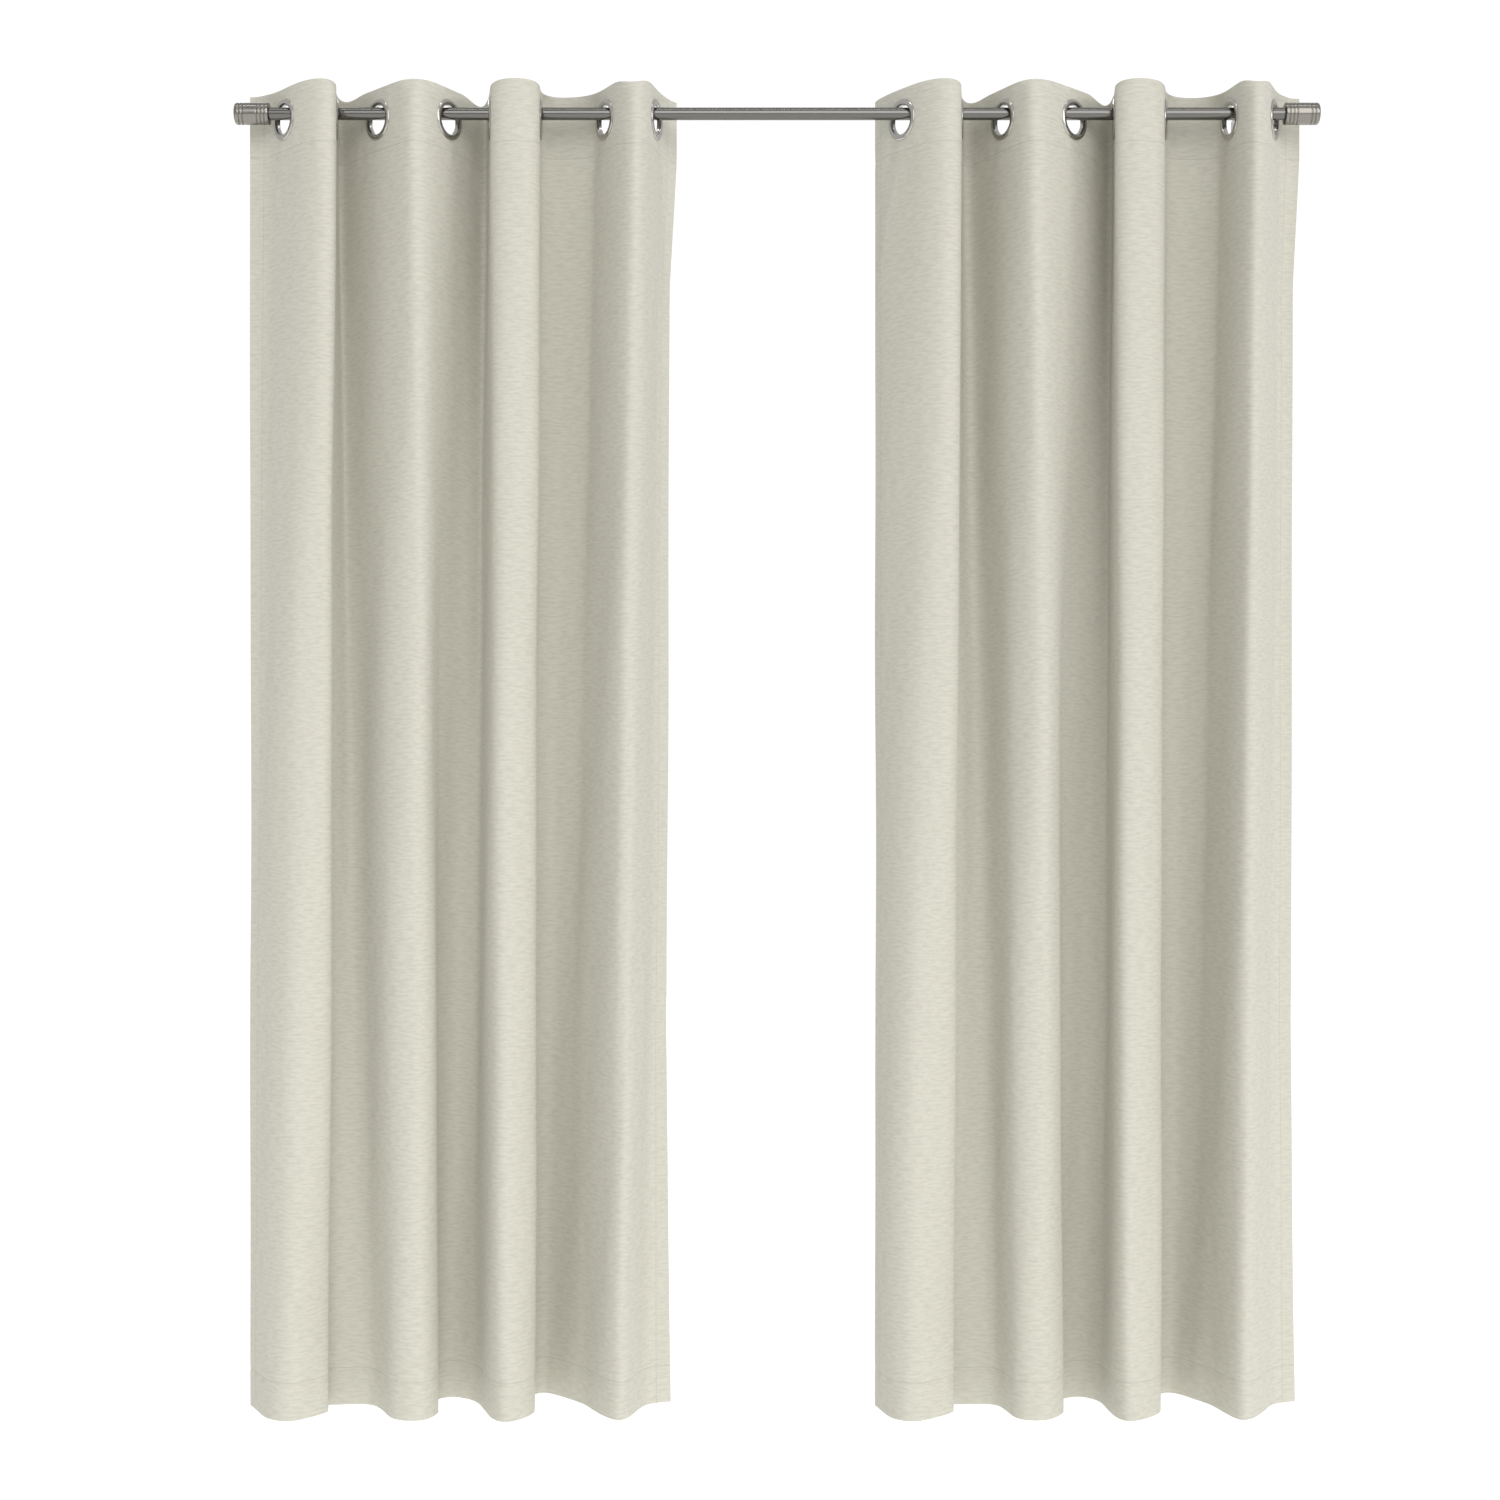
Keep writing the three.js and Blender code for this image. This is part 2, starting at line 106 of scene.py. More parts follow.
EYELETS = 8
PANEL_WIDTH = 1372 * MM
PANEL_HEIGHT = 2134 * MM
SIDE_MARGIN = 84 * MM  # flat, from a side edge to the nearest eyelet
EYELET_BELOW_TOP = 50 * MM
FLAT_PITCH = (PANEL_WIDTH - 2 * SIDE_MARGIN) / (EYELETS - 1)
FIRST_CREST = SIDE_MARGIN + FLAT_PITCH / 2
HEADER_HEIGHT = 100 * MM
HEM_HEIGHT = 60 * MM
SIDE_HEM = 25 * MM
STITCH_WIDTH = 1.2 * MM  # wider than a real stitch, so that the seams show
STITCH_PITCH = 4 * MM
TURNED_IN = 0.9 * MM  # thickness of the layer turned in at a hem or sewn behind the header
HEM_BEHIND = 1.25 * MM  # from the panel's middle to the middle of the layer of a hem
FACING_BEHIND = 1.4 * MM

# ---------- the eyelets, as (radius, distance ahead of the cloth's middle) ----------

EYELET_RADIUS = 32.5
EYELET_AHEAD = 0.65 * MM  # from the middle of the front half's length to the cloth's middle
FLAT_REACH = 34 * MM  # the header stays straight this far on each side of an eyelet's middle
HOLE_RADIUS = 25.4 * MM
MIDDLE_ROUNDS = 3  # times that an eyelet's middle is measured, each closer than the last
RIM_SHARE = 0.97  # an eyelet's rim lies beyond this share of its radius
EYELET_FRONT = [
    (24.5, -4.5), (24.5, 0.9), (32.1, 0.9), (32.4, 1.1), (32.5, 1.5), (32.1, 2.2),
    (31.0, 2.9), (29.5, 3.35), (27.75, 3.5), (26.0, 3.35), (24.6, 2.8), (23.5, 1.9),
    (23.05, 0.8), (23.0, -0.4), (23.0, -4.5), (23.3, -4.8), (24.2, -4.8),
]
EYELET_BACK = [
    (24.85, -2.25), (32.1, -2.25), (32.45, -2.5), (32.4, -3.0), (31.4, -3.9), (29.6, -4.5),
    (27.6, -4.75), (25.6, -4.7), (24.9, -4.4),
]

# ---------- how each panel hangs at its hem ----------

# At the hem the folds have opened and drifted. These are the places where the cloth turns there,
# seen from above, from the left panel's left edge to its right edge: along the rod from its
# middle, then towards the wall, in millimetres.
HEM_WAVE = [
    (-856, 30), (-815, -38), (-768, -53), (-724, -4), (-752, 22), (-716, 34),
    (-659, 30), (-612, -42), (-565, -49), (-547, -5), (-566, 45), (-535, 76),
    (-492, 46), (-456, -39), (-425, -55), (-391, -5), (-412, 60), (-382, 97),
    (-320, 40), (-253, -49), (-212, 28), (-174, 50),
]
# the right panel hangs in the same folds, opened a little more towards the wall
RIGHT_ALONG = 1009
RIGHT_OPENING = 0.288
TOP_TURNS = {"left": (52, -30), "right": (-24, -72)}  # turn of the loose cloth at each side edge
# how far the header droops between an eyelet, counted from the left, and the next one
DROOPS = {2: 5 * MM, 4: 11 * MM, 7: 7 * MM}
CROWN_HEIGHT = 16 * MM  # above the eyelets' flanges the header is free to turn more softly
CROWN_REACH = 34 * MM
EDGE_SWING = 10 * MM  # the right side edge swings in this much below the header
SWING_GROWS = 0.1  # over this share of the drop below the header
SWING_FADES = 0.3  # over this share of the drop above the hem
STEADY_FALL = 0.12  # the header's folds keep their form for this share of the drop
PUCKER_REACH = 16 * MM  # from a seam to where its puckers have faded
SEAM_GROOVE = 2.5 * MM  # half the width of the dip along a seam
FREE_BEYOND = 10 * MM  # from an eyelet's flange to where the cloth may pucker freely
FOLD_SAMPLES = 48
TAIL_SAMPLES = 12
HANDLE_HALVINGS = 40

# ---------- rod, finials and plugs, in millimetres ----------

ROD_RADIUS = 10
ROD_WALL = 1
FINIAL_RADIUS = 17.5
FINIAL_LENGTH = 55
FINIAL_EDGE = 4
GROOVES = [8, 14, 37, 43, 49]  # distances from the outer end
GROOVE_WIDTH = 2
GROOVE_DEPTH = 0.8
SPIGOT_RADIUS = 4.7
SPIGOT_LENGTH = 18
PLUG_LENGTH = 24
CLEAR = 0.3  # left between pieces that touch
PLUG_NOTCHES = [15, 8]  # distances of the plug's gripping notches from its outer end
BRACKET_EDGE = 0.5 * MM  # width of the small round that breaks an edge
SCREW_EDGE = 0.3 * MM
TURN_STEPS = 72


def linear(code):
    """An sRGB hex colour as the linear numbers that a shader takes."""
    shares = [int(code[i:i + 2], 16) / 255 for i in (0, 2, 4)]
    return tuple(s / 12.92 if s <= 0.04045 else ((s + 0.055) / 1.055) ** 2.4 for s in shares)


# ---------- settings that a user may change ----------


def length_setting(name, description, default, low, high):
    """A length that a user may change."""
    return bpy.props.FloatProperty(
        name=name, description=description, default=default, min=low, max=high, unit="LENGTH"
    )


def colour_setting(name, description, code):
    """A colour that a user may change, from its sRGB hex code."""
    return bpy.props.FloatVectorProperty(
        name=name,
        description=description,
        default=linear(code),
        subtype="COLOR",
        size=3,
        min=0.0,
        max=1.0,
    )


class CurtainSizes(bpy.types.PropertyGroup):
    """Sizes of the soft pieces and of the fine surface detail."""

    cloth_thickness: length_setting(
        "Cloth thickness",
        "Thickness of one layer of the curtain cloth",
        1.1 * MM, 0.4 * MM, 1.2 * MM,
    )
    column_width: length_setting(
        "Column width",
        "Width of the cloth's mesh columns",
        5 * MM, 4 * MM, 12 * MM,
    )
    row_height: length_setting(
        "Row height",
        "Height of the cloth's mesh rows below the header",
        17 * MM, 10 * MM, 60 * MM,
    )
    pucker_depth: length_setting(
        "Pucker depth",
        "How far the cloth ripples beside a stitched seam",
        0.7 * MM, 0.0, 2 * MM,
    )
    sway: length_setting(
        "Sway",
        "How far a hanging thread wanders from its straight line",
        2.2 * MM, 0.0, 6 * MM,
    )
    crinkle_length: length_setting(
        "Crinkle length",
        "Length of one crinkle across the cloth",
        19 * MM, 5 * MM, 80 * MM,
    )
    crinkle_height: length_setting(
        "Crinkle height",
        "Distance from one crinkle to the next down the cloth",
        3.8 * MM, 2 * MM, 30 * MM,
    )


class CurtainColours(bpy.types.PropertyGroup):
    """Colours of the finishes."""

    cloth: colour_setting("Cloth", "The cloth's main colour", "c4c2b6")
    # the darker colour is partly the darker slub threads and partly painted shade in the crinkles'
    # hollows
    cloth_threads_and_painted_shade: colour_setting(
        "Cloth, darker threads", "The darker threads and the hollows of the crinkles", "b9b7ab"
    )
    eyelet: colour_setting("Bright nickel", "Eyelets", "bebcb8")
    nickel: colour_setting("Satin nickel", "Finials", "8b8882")
    steel: colour_setting("Brushed steel", "The rod", "706f6c")
    zinc: colour_setting("Zinc plating", "Brackets and screws", "9a9a98")
    nylon: colour_setting("Black nylon", "Plugs in the rod's ends", "2b2b2d")
    floor: colour_setting("Floor", "The studio floor", "f7f7f5")


# ---------- materials ----------


def add_node(tree, kind, settings=None, links=None):
    """Adds a node, gives its sockets and options their values, and links its inputs."""
    node = tree.nodes.new(kind)
    for key, value in (settings or {}).items():
        if isinstance(key, int) or key in node.inputs:
            node.inputs[key].default_value = value
        else:
            setattr(node, key, value)
    for key, socket in (links or {}).items():
        tree.links.new(socket, node.inputs[key])
    return node


def new_material(name):
    """An empty node material with a Principled shader, as (material, tree, shader)."""
    material = bpy.data.materials.new(name)
    material.use_nodes = True
    tree = material.node_tree
    return material, tree, tree.nodes["Principled BSDF"]


def rgba(colour):
    return (*colour, 1.0)


def seam_line(tree, across, place, along, width, dash):
    """A mask that is 1 on the stitches of a straight seam at one place on the cloth's map."""
    offset = add_node(tree, "ShaderNodeMath", {"operation": "SUBTRACT", 1: place}, {0: across})
    distance = add_node(tree, "ShaderNodeMath", {"operation": "ABSOLUTE"}, {0: offset.outputs[0]})
    line = add_node(
        tree, "ShaderNodeMath", {"operation": "LESS_THAN", 1: width / 2}, {0: distance.outputs[0]}
    )
    repeat = add_node(tree, "ShaderNodeMath", {"operation": "DIVIDE", 1: dash}, {0: along})
    share = add_node(tree, "ShaderNodeMath", {"operation": "FRACT"}, {0: repeat.outputs[0]})
    stitch = add_node(
        tree, "ShaderNodeMath", {"operation": "LESS_THAN", 1: 0.7}, {0: share.outputs[0]}
    )
    both = add_node(
        tree,
        "ShaderNodeMath",
        {"operation": "MULTIPLY"},
        {0: line.outputs[0], 1: stitch.outputs[0]},
    )
    return both.outputs[0]


def stretched_noise(tree, source, size, settings, shift=(0, 0, 0)):
    """Noise drawn out to a size in metres along each axis, as a socket."""
    place = add_node(
        tree,
        "ShaderNodeMapping",
        {"Scale": tuple(1 / length for length in size), "Location": shift},
        {"Vector": source},
    )
    noise = add_node(
        tree, "ShaderNodeTexNoise", {"Scale": 1.0, **settings}, {"Vector": place.outputs[0]}
    )
    return noise.outputs[0]


def crinkle_nodes(tree, flat, parts):
    """The crinkles' noise and their height, as two sockets."""
    sizes = bpy.context.scene.curtain_sizes
    crinkle = stretched_noise(
        tree,
        flat.outputs[0],
        (sizes.crinkle_length, sizes.crinkle_height, 1),
        {"Detail": 2.5, "Roughness": 0.55, "Distortion": 0.2},
    )
    # patches of 90 by 160 mm where the crinkles are stronger or almost absent
    patch = stretched_noise(
        tree, flat.outputs[0], (90 * MM, 160 * MM, 1), {"Detail": 1.0}, (3.1, 1.7, 0)
    )
    # a wave that is 1 on the folds towards the room and -1 on the others
    from_crest = add_node(
        tree, "ShaderNodeMath", {"operation": "SUBTRACT", 1: FIRST_CREST}, {0: parts.outputs[0]}
    )
    turn = add_node(
        tree,
        "ShaderNodeMath",
        {"operation": "MULTIPLY", 1: math.pi / FLAT_PITCH},
        {0: from_crest.outputs[0]},
    )
    wave = add_node(tree, "ShaderNodeMath", {"operation": "COSINE"}, {0: turn.outputs[0]})
    # crinkles are drawn out on the folds towards the room, and the header is pressed smooth
    header_edge = PANEL_HEIGHT - HEADER_HEIGHT
    shares = [
        (patch, 0.35, 0.65, 0.15, 1.0),
        (wave.outputs[0], -1.0, 0.6, 0.15, 1.0),
        (parts.outputs[1], header_edge - 20 * MM, header_edge, 1.0, 0.3),
    ]
    height = crinkle
    for source, low, high, first, last in shares:
        share = add_node(
            tree,
            "ShaderNodeMapRange",
            {"From Min": low, "From Max": high, "To Min": first, "To Max": last},
            {"Value": source},
        )
        product = add_node(
            tree,
            "ShaderNodeMath",
            {"operation": "MULTIPLY"},
            {0: height, 1: share.outputs[0]},
        )
        height = product.outputs[0]
    return crinkle, height


def stitch_mask(tree, parts):
    """A mask that is 1 on every stitch of the panel's four seams."""
    seams = [
        (parts.outputs[1], PANEL_HEIGHT - HEADER_HEIGHT, parts.outputs[0]),
        (parts.outputs[1], HEM_HEIGHT, parts.outputs[0]),
        (parts.outputs[0], SIDE_HEM, parts.outputs[1]),
        (parts.outputs[0], PANEL_WIDTH - SIDE_HEM, parts.outputs[1]),
    ]
    stitches = None
    for across, place, along in seams:
        mask = seam_line(tree, across, place, along, STITCH_WIDTH, STITCH_PITCH)
        if stitches is None:
            stitches = mask
        else:
            total = add_node(
                tree, "ShaderNodeMath", {"operation": "MAXIMUM"}, {0: stitches, 1: mask}
            )
            stitches = total.outputs[0]
    return stitches


def cloth_material():
    """Crinkled off-white polyester and linen cloth, loosely woven: matt, with short crinkles that
    run across the panel, thicker slub threads and a soft bloom where it turns away. The hollows of
    the crinkles are darkened with painted shade."""
    colours = bpy.context.scene.curtain_colours
    material, tree, shader = new_material("woven_curtain_cloth")
    flat = add_node(tree, "ShaderNodeUVMap", {"uv_map": "cloth"})
    parts = add_node(tree, "ShaderNodeSeparateXYZ", None, {0: flat.outputs[0]})
    crinkle, crinkle_height = crinkle_nodes(tree, flat, parts)
    # slub threads 9 mm long and 1.6 mm apart, drawn coarser than the real 0.5 mm so that they show
    slub = stretched_noise(tree, flat.outputs[0], (9 * MM, 1.6 * MM, 1), {"Detail": 3.0})
    stitches = stitch_mask(tree, parts)
    # painted shade: where the crinkles' bump dips, the colour turns darker; the slub threads'
    # darker tone is the cloth's own
    tone = add_node(
        tree,
        "ShaderNodeMapRange",
        {"From Min": 0.3, "From Max": 0.62, "To Min": 0.0, "To Max": 1.0},
        {"Value": crinkle},
    )
    slub_tone_and_painted_shade = add_node(
        tree,
        "ShaderNodeMath",
        {"operation": "MULTIPLY"},
        {0: tone.outputs[0], 1: slub},
    )
    lightness = add_node(
        tree,
        "ShaderNodeMapRange",
        {"From Min": 0.05, "From Max": 0.5, "To Min": 0.0, "To Max": 1.0},
        {"Value": slub_tone_and_painted_shade.outputs[0]},
    )
    base = add_node(
        tree,
        "ShaderNodeMix",
        {"data_type": "RGBA", 6: rgba(colours.cloth_threads_and_painted_shade), 7: rgba(colours.cloth)},
        {0: lightness.outputs[0]},
    )
    stitched = add_node(
        tree,
        "ShaderNodeMix",
        {"data_type": "RGBA", 7: rgba([c * 0.84 for c in colours.cloth_threads_and_painted_shade])},
        {0: stitches, 6: base.outputs[2]},
    )
    crinkle_bump = add_node(
        tree,
        "ShaderNodeBump",
        {"Strength": 0.7, "Distance": 1.6 * MM},
        {"Height": crinkle_height},
    )
    slub_bump = add_node(
        tree,
        "ShaderNodeBump",
        {"Strength": 0.35, "Distance": 0.35 * MM},
        {"Height": slub, "Normal": crinkle_bump.outputs[0]},
    )
    tree.links.new(stitched.outputs[2], shader.inputs["Base Color"])
    tree.links.new(slub_bump.outputs[0], shader.inputs["Normal"])
    shader.inputs["Roughness"].default_value = 0.93
    shader.inputs["Sheen Weight"].default_value = 0.12
    shader.inputs["Sheen Roughness"].default_value = 0.5
    shader.inputs["Specular IOR Level"].default_value = 0.25
    return material


def metal_material(name, colour, roughness, grain, contrast, depth):
    """Brushed or turned metal. The grain is the size of its marks along X, Y and Z, the contrast
    is how far they change its colour, and the depth is how far they stand out."""
    material, tree, shader = new_material(name)
    place = add_node(tree, "ShaderNodeTexCoord")
    marks = stretched_noise(
        tree, place.outputs["Object"], grain, {"Detail": 4.0, "Roughness": 0.6}
    )
    cloudy = add_node(
        tree,
        "ShaderNodeTexNoise",
        {"Scale": 38.0, "Detail": 2.0},
        {"Vector": place.outputs["Object"]},
    )
    dull = add_node(
        tree,
        "ShaderNodeMapRange",
        {"From Min": 0.3, "From Max": 0.7, "To Min": roughness - 0.03, "To Max": roughness + 0.04},
        {"Value": cloudy.outputs[0]},
    )
    base = add_node(
        tree,
        "ShaderNodeMix",
        {
            "data_type": "RGBA",
            6: rgba([c * (1 - contrast) for c in colour]),
            7: rgba([min(c * (1 + contrast), 1.0) for c in colour]),
        },
        {0: marks},
    )
    bump = add_node(
        tree, "ShaderNodeBump", {"Strength": 0.2, "Distance": depth}, {"Height": marks}
    )
    tree.links.new(base.outputs[2], shader.inputs["Base Color"])
    tree.links.new(dull.outputs[0], shader.inputs["Roughness"])
    tree.links.new(bump.outputs[0], shader.inputs["Normal"])
    shader.inputs["Metallic"].default_value = 1.0
    return material


def eyelet_material():
    """Bright nickel plating on pressed brass: light and clear, with hardly any cloudiness."""
    colour = bpy.context.scene.curtain_colours.eyelet
    return metal_material("bright_nickel_plating", colour, 0.2, (2 * MM,) * 3, 0.03, 0.004 * MM)


def nickel_material():
    """Satin nickel plating on turned brass: soft highlights and faint cloudiness."""
    colour = bpy.context.scene.curtain_colours.nickel
    return metal_material("satin_nickel_plating", colour, 0.2, (2 * MM,) * 3, 0.05, 0.004 * MM)


def rod_material():
    """Brushed steel tube: fine marks 40 mm long that run along the tube."""
    colour = bpy.context.scene.curtain_colours.steel
    grain = (40 * MM, 0.8 * MM, 0.8 * MM)
    return metal_material("brushed_steel_tube", colour, 0.16, grain, 0.08, 0.006 * MM)


def bracket_material():
    """Tumbled zinc-plated steel: a dull, slightly cloudy grey with no direction."""
    colour = bpy.context.scene.curtain_colours.zinc
    return metal_material("zinc_plated_steel", colour, 0.4, (2 * MM,) * 3, 0.1, 0.02 * MM)


def nylon_material():
    """Moulded black nylon: smooth, with a fine moulded grain that softens its shine."""
    colour = bpy.context.scene.curtain_colours.nylon
    material, tree, shader = new_material("moulded_black_nylon")
    place = add_node(tree, "ShaderNodeTexCoord")
    grain = add_node(
        tree,
        "ShaderNodeTexNoise",
        {"Scale": 1 / (0.8 * MM), "Detail": 2.0},
        {"Vector": place.outputs["Object"]},
    )
    tone = add_node(
        tree,
        "ShaderNodeMix",
        {"data_type": "RGBA", 6: rgba(colour), 7: rgba([c * 1.5 for c in colour])},
        {0: grain.outputs[0]},
    )
    bump = add_node(
        tree,
        "ShaderNodeBump",
        {"Strength": 0.2, "Distance": 0.05 * MM},
        {"Height": grain.outputs[0]},
    )
    tree.links.new(tone.outputs[2], shader.inputs["Base Color"])
    tree.links.new(bump.outputs[0], shader.inputs["Normal"])
    shader.inputs["Roughness"].default_value = 0.45
    shader.inputs["IOR"].default_value = 1.53
    return material


def floor_material():
    """Matt white acrylic of a light table: lit from below, with a trace of unevenness."""
    colour = bpy.context.scene.curtain_colours.floor
    material, tree, shader = new_material("backlit_white_acrylic")
    place = add_node(tree, "ShaderNodeTexCoord")
    clouds = add_node(
        tree,
        "ShaderNodeTexNoise",
        {"Scale": 2.0, "Detail": 2.0},
        {"Vector": place.outputs["Object"]},
    )
    tone = add_node(
        tree,
        "ShaderNodeMix",
        {"data_type": "RGBA", 6: rgba([c * 0.985 for c in colour]), 7: rgba(colour)},
        {0: clouds.outputs[0]},
    )
    tree.links.new(tone.outputs[2], shader.inputs["Base Color"])
    shader.inputs["Roughness"].default_value = 0.9
    shader.inputs["Emission Color"].default_value = (1, 1, 1, 1)
    shader.inputs["Emission Strength"].default_value = 0.5
    return material


def finish(name, maker):
    """The material of that name, made the first time that a piece asks for it."""
    return bpy.data.materials.get(name) or maker()


# ---------- small modelling steps ----------


def start_clean():
    """Leaves edit mode and deselects everything, so that an operator acts only on new work."""
    if bpy.context.object and bpy.context.object.mode != "OBJECT":
        bpy.ops.object.mode_set(mode="OBJECT")
    bpy.ops.object.select_all(action="DESELECT")


def make_active(piece):
    start_clean()
    bpy.context.view_layer.objects.active = piece
    piece.select_set(True)


def apply_modifier(piece, kind, **settings):
    """Adds a modifier with its settings and applies it."""
    make_active(piece)
    modifier = piece.modifiers.new(kind.lower(), kind)
    for key, value in settings.items():
        setattr(modifier, key, value)
    bpy.ops.object.modifier_apply(modifier=modifier.name)


def turned_piece(name, section, closed):
    """A piece turned about Z, drawn ring by ring from its (radius, height) section in millimetres.
    A closed section joins its last ring to its first; an open one gets flat end faces."""
    start_clean()
    radius, height = section[0]
    bpy.ops.mesh.primitive_circle_add(vertices=TURN_STEPS, radius=radius * MM, enter_editmode=True)
    piece = bpy.context.object
    bpy.ops.mesh.select_mode(type="EDGE")
    bpy.ops.mesh.select_all(action="SELECT")
    bpy.ops.transform.translate(value=(0, 0, height * MM))
    for next_radius, next_height in section[1:]:
        rise = (next_height - height) * MM
        bpy.ops.mesh.extrude_region_move(TRANSFORM_OT_translate={"value": (0, 0, rise)})
        share = next_radius / radius
        bpy.ops.transform.resize(value=(share, share, 1), center_override=(0, 0, 0))
        radius, height = next_radius, next_height
    bpy.ops.mesh.select_non_manifold(extend=False)
    if closed:
        bpy.ops.mesh.bridge_edge_loops()
    else:
        bpy.ops.mesh.fill_holes(sides=0)
    bpy.ops.mesh.select_all(action="SELECT")
    bpy.ops.mesh.normals_make_consistent(inside=False)
    bpy.ops.object.mode_set(mode="OBJECT")
    piece.name = name
    piece.data.name = name
    return piece


def put(piece, matrix):
    """Moves a finished piece to its place, in its mesh."""
    piece.data.transform(matrix)
    piece.data.update()


def copy_of(piece, name):
    """A copy of a piece with its own mesh."""
    twin = piece.copy()
    twin.data = piece.data.copy()
    twin.name = name
    twin.data.name = name
    bpy.context.collection.objects.link(twin)
    return twin


def dress(piece, material, body=None, stands_for=()):
    """Gives a piece its material and slot, fixes it to the body that it rides on, and hides the
    parts that it stands for.
    """
    piece.data.materials.clear()
    piece.data.materials.append(material)
    if body:
        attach(piece, body)
    if stands_for:
        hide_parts(*stands_for)


def smooth(piece, degrees=35):
    make_active(piece)
    bpy.ops.object.shade_smooth_by_angle(angle=math.radians(degrees))


def body_of_node(node):
    return frame["nodes"][node]["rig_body"]


def facing_matrix(middle, facing):
    """Turns a piece made about Z so that its +Z end faces along a level direction."""
    ahead = Vector((*facing, 0))
    return Matrix.Translation(middle) @ ahead.to_track_quat("Z", "Y").to_matrix().to_4x4()


# ---------- reading the frame ----------


def rod_axis():
    """The middle of the rod, and half its length."""
    low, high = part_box("rod_tube")
    return (low + high) / 2, (high.x - low.x) / 2


def eyelet_place(side, number):
    """The point of the cloth's middle line inside an eyelet, and the way that its front faces."""
    node = frame["nodes"][f"{side}_eyelet_{number}_front"]
    points = np.array([v.co for v in node.data.vertices], float)
    middle = (points.min(0) + points.max(0)) / 2
    for _ in range(MIDDLE_ROUNDS):
        spread = points - middle
        facing = np.linalg.svd(spread, full_matrices=False)[2][2]
        facing[2] = 0
        facing /= np.linalg.norm(facing)
        ahead = spread @ facing
        level = spread - np.outer(ahead, facing)
        sideways = np.array([-facing[1], facing[0], 0])
        across = spread @ sideways
        middle = middle + sideways * (across.min() + across.max()) / 2
    reach = np.linalg.norm(level, axis=1)
    rim = ahead[reach > RIM_SHARE * reach.max()].mean()
    centre = (ahead.min() + ahead.max()) / 2
    if rim < centre:
        facing = -facing
        ahead = -ahead
        centre = -centre
    middle = middle + facing * (centre + EYELET_AHEAD)
    return middle, facing[:2]


# ---------- the cloth's shape ----------


def step_along(point, angle, distance):
    return point + distance * np.array([math.cos(angle), math.sin(angle)])


def fold_points(start, start_angle, end, end_angle, length):
    """A smooth fold between two points with the cloth's own length between them."""
    share = np.linspace(0, 1, FOLD_SAMPLES + 1)[:, None]
    low = 0.0
    high = 2 * length
    for _ in range(HANDLE_HALVINGS):
        handle = (low + high) / 2
        first = step_along(start, start_angle, handle)
        second = step_along(end, end_angle, -handle)
        points = (
            start * (1 - share) ** 3
            + 3 * first * share * (1 - share) ** 2
            + 3 * second * share**2 * (1 - share)
            + end * share**3
        )
        if np.linalg.norm(np.diff(points, axis=0), axis=1).sum() < length:
            low = handle
        else:
            high = handle
    return points[1:-1]


def tail_points(start, angle, turn, outward, length):
    """The loose cloth beyond the last eyelet, which turns steadily."""
    points = []
    point = start
    for index in range(TAIL_SAMPLES):
        heading = angle + turn * (index + 0.5) / TAIL_SAMPLES
        point = step_along(point, heading, outward * length / TAIL_SAMPLES)
        points.append(point)
    return points


def header_points(crossings, turns):
    """The header's middle line, straight through each eyelet and folded between them."""
    fold_length = FLAT_PITCH - 2 * FLAT_REACH
    tail = SIDE_MARGIN - FLAT_REACH
    points = []
    for index, (middle, angle) in enumerate(crossings):
        before = step_along(middle, angle, -FLAT_REACH)
        after = step_along(middle, angle, FLAT_REACH)
        if index == 0:
            points += tail_points(before, angle, math.radians(turns[0]), -1, tail)[::-1]
        points += [before, after]
        if index < len(crossings) - 1:
            next_middle, next_angle = crossings[index + 1]
            next_before = step_along(next_middle, next_angle, -FLAT_REACH)
            points += list(fold_points(after, angle, next_before, next_angle, fold_length))
        else:
            points += tail_points(after, angle, math.radians(turns[1]), 1, tail)
    return np.array(points)


def hem_points(side, middle):
    """The hem's middle line: a smooth curve through the places where it turns."""
    turns = np.array(HEM_WAVE, float)
    if side == "right":
        turns[:, 0] += RIGHT_ALONG + RIGHT_OPENING * turns[:, 1]
    turns = turns * MM + np.array([middle.x, middle.y])
    padded = np.vstack([2 * turns[0] - turns[1], turns, 2 * turns[-1] - turns[-2]])
    share = np.linspace(0, 1, FOLD_SAMPLES // 2, endpoint=False)[:, None]
    points = []
    for before, start, end, after in zip(padded, padded[1:], padded[2:], padded[3:]):
        leave = (end - before) / 2
        arrive = (after - start) / 2
        points.append(
            start * (2 * share**3 - 3 * share**2 + 1)
            + leave * (share**3 - 2 * share**2 + share)
            + end * (3 * share**2 - 2 * share**3)
            + arrive * (share**3 - share**2)
        )
    return np.vstack([*points, turns[-1:]])


class FoldLine:
    """The cloth's middle line at one height, seen from above, by the flat distance along it."""

    def __init__(self, points):
        self.points = points
        steps = np.linalg.norm(np.diff(points, axis=0), axis=1)
        run = np.concatenate([[0], np.cumsum(steps)])
        self.flat = run * PANEL_WIDTH / run[-1]

    def at(self, flat):
        return np.stack([np.interp(flat, self.flat, self.points[:, i]) for i in (0, 1)], 1)


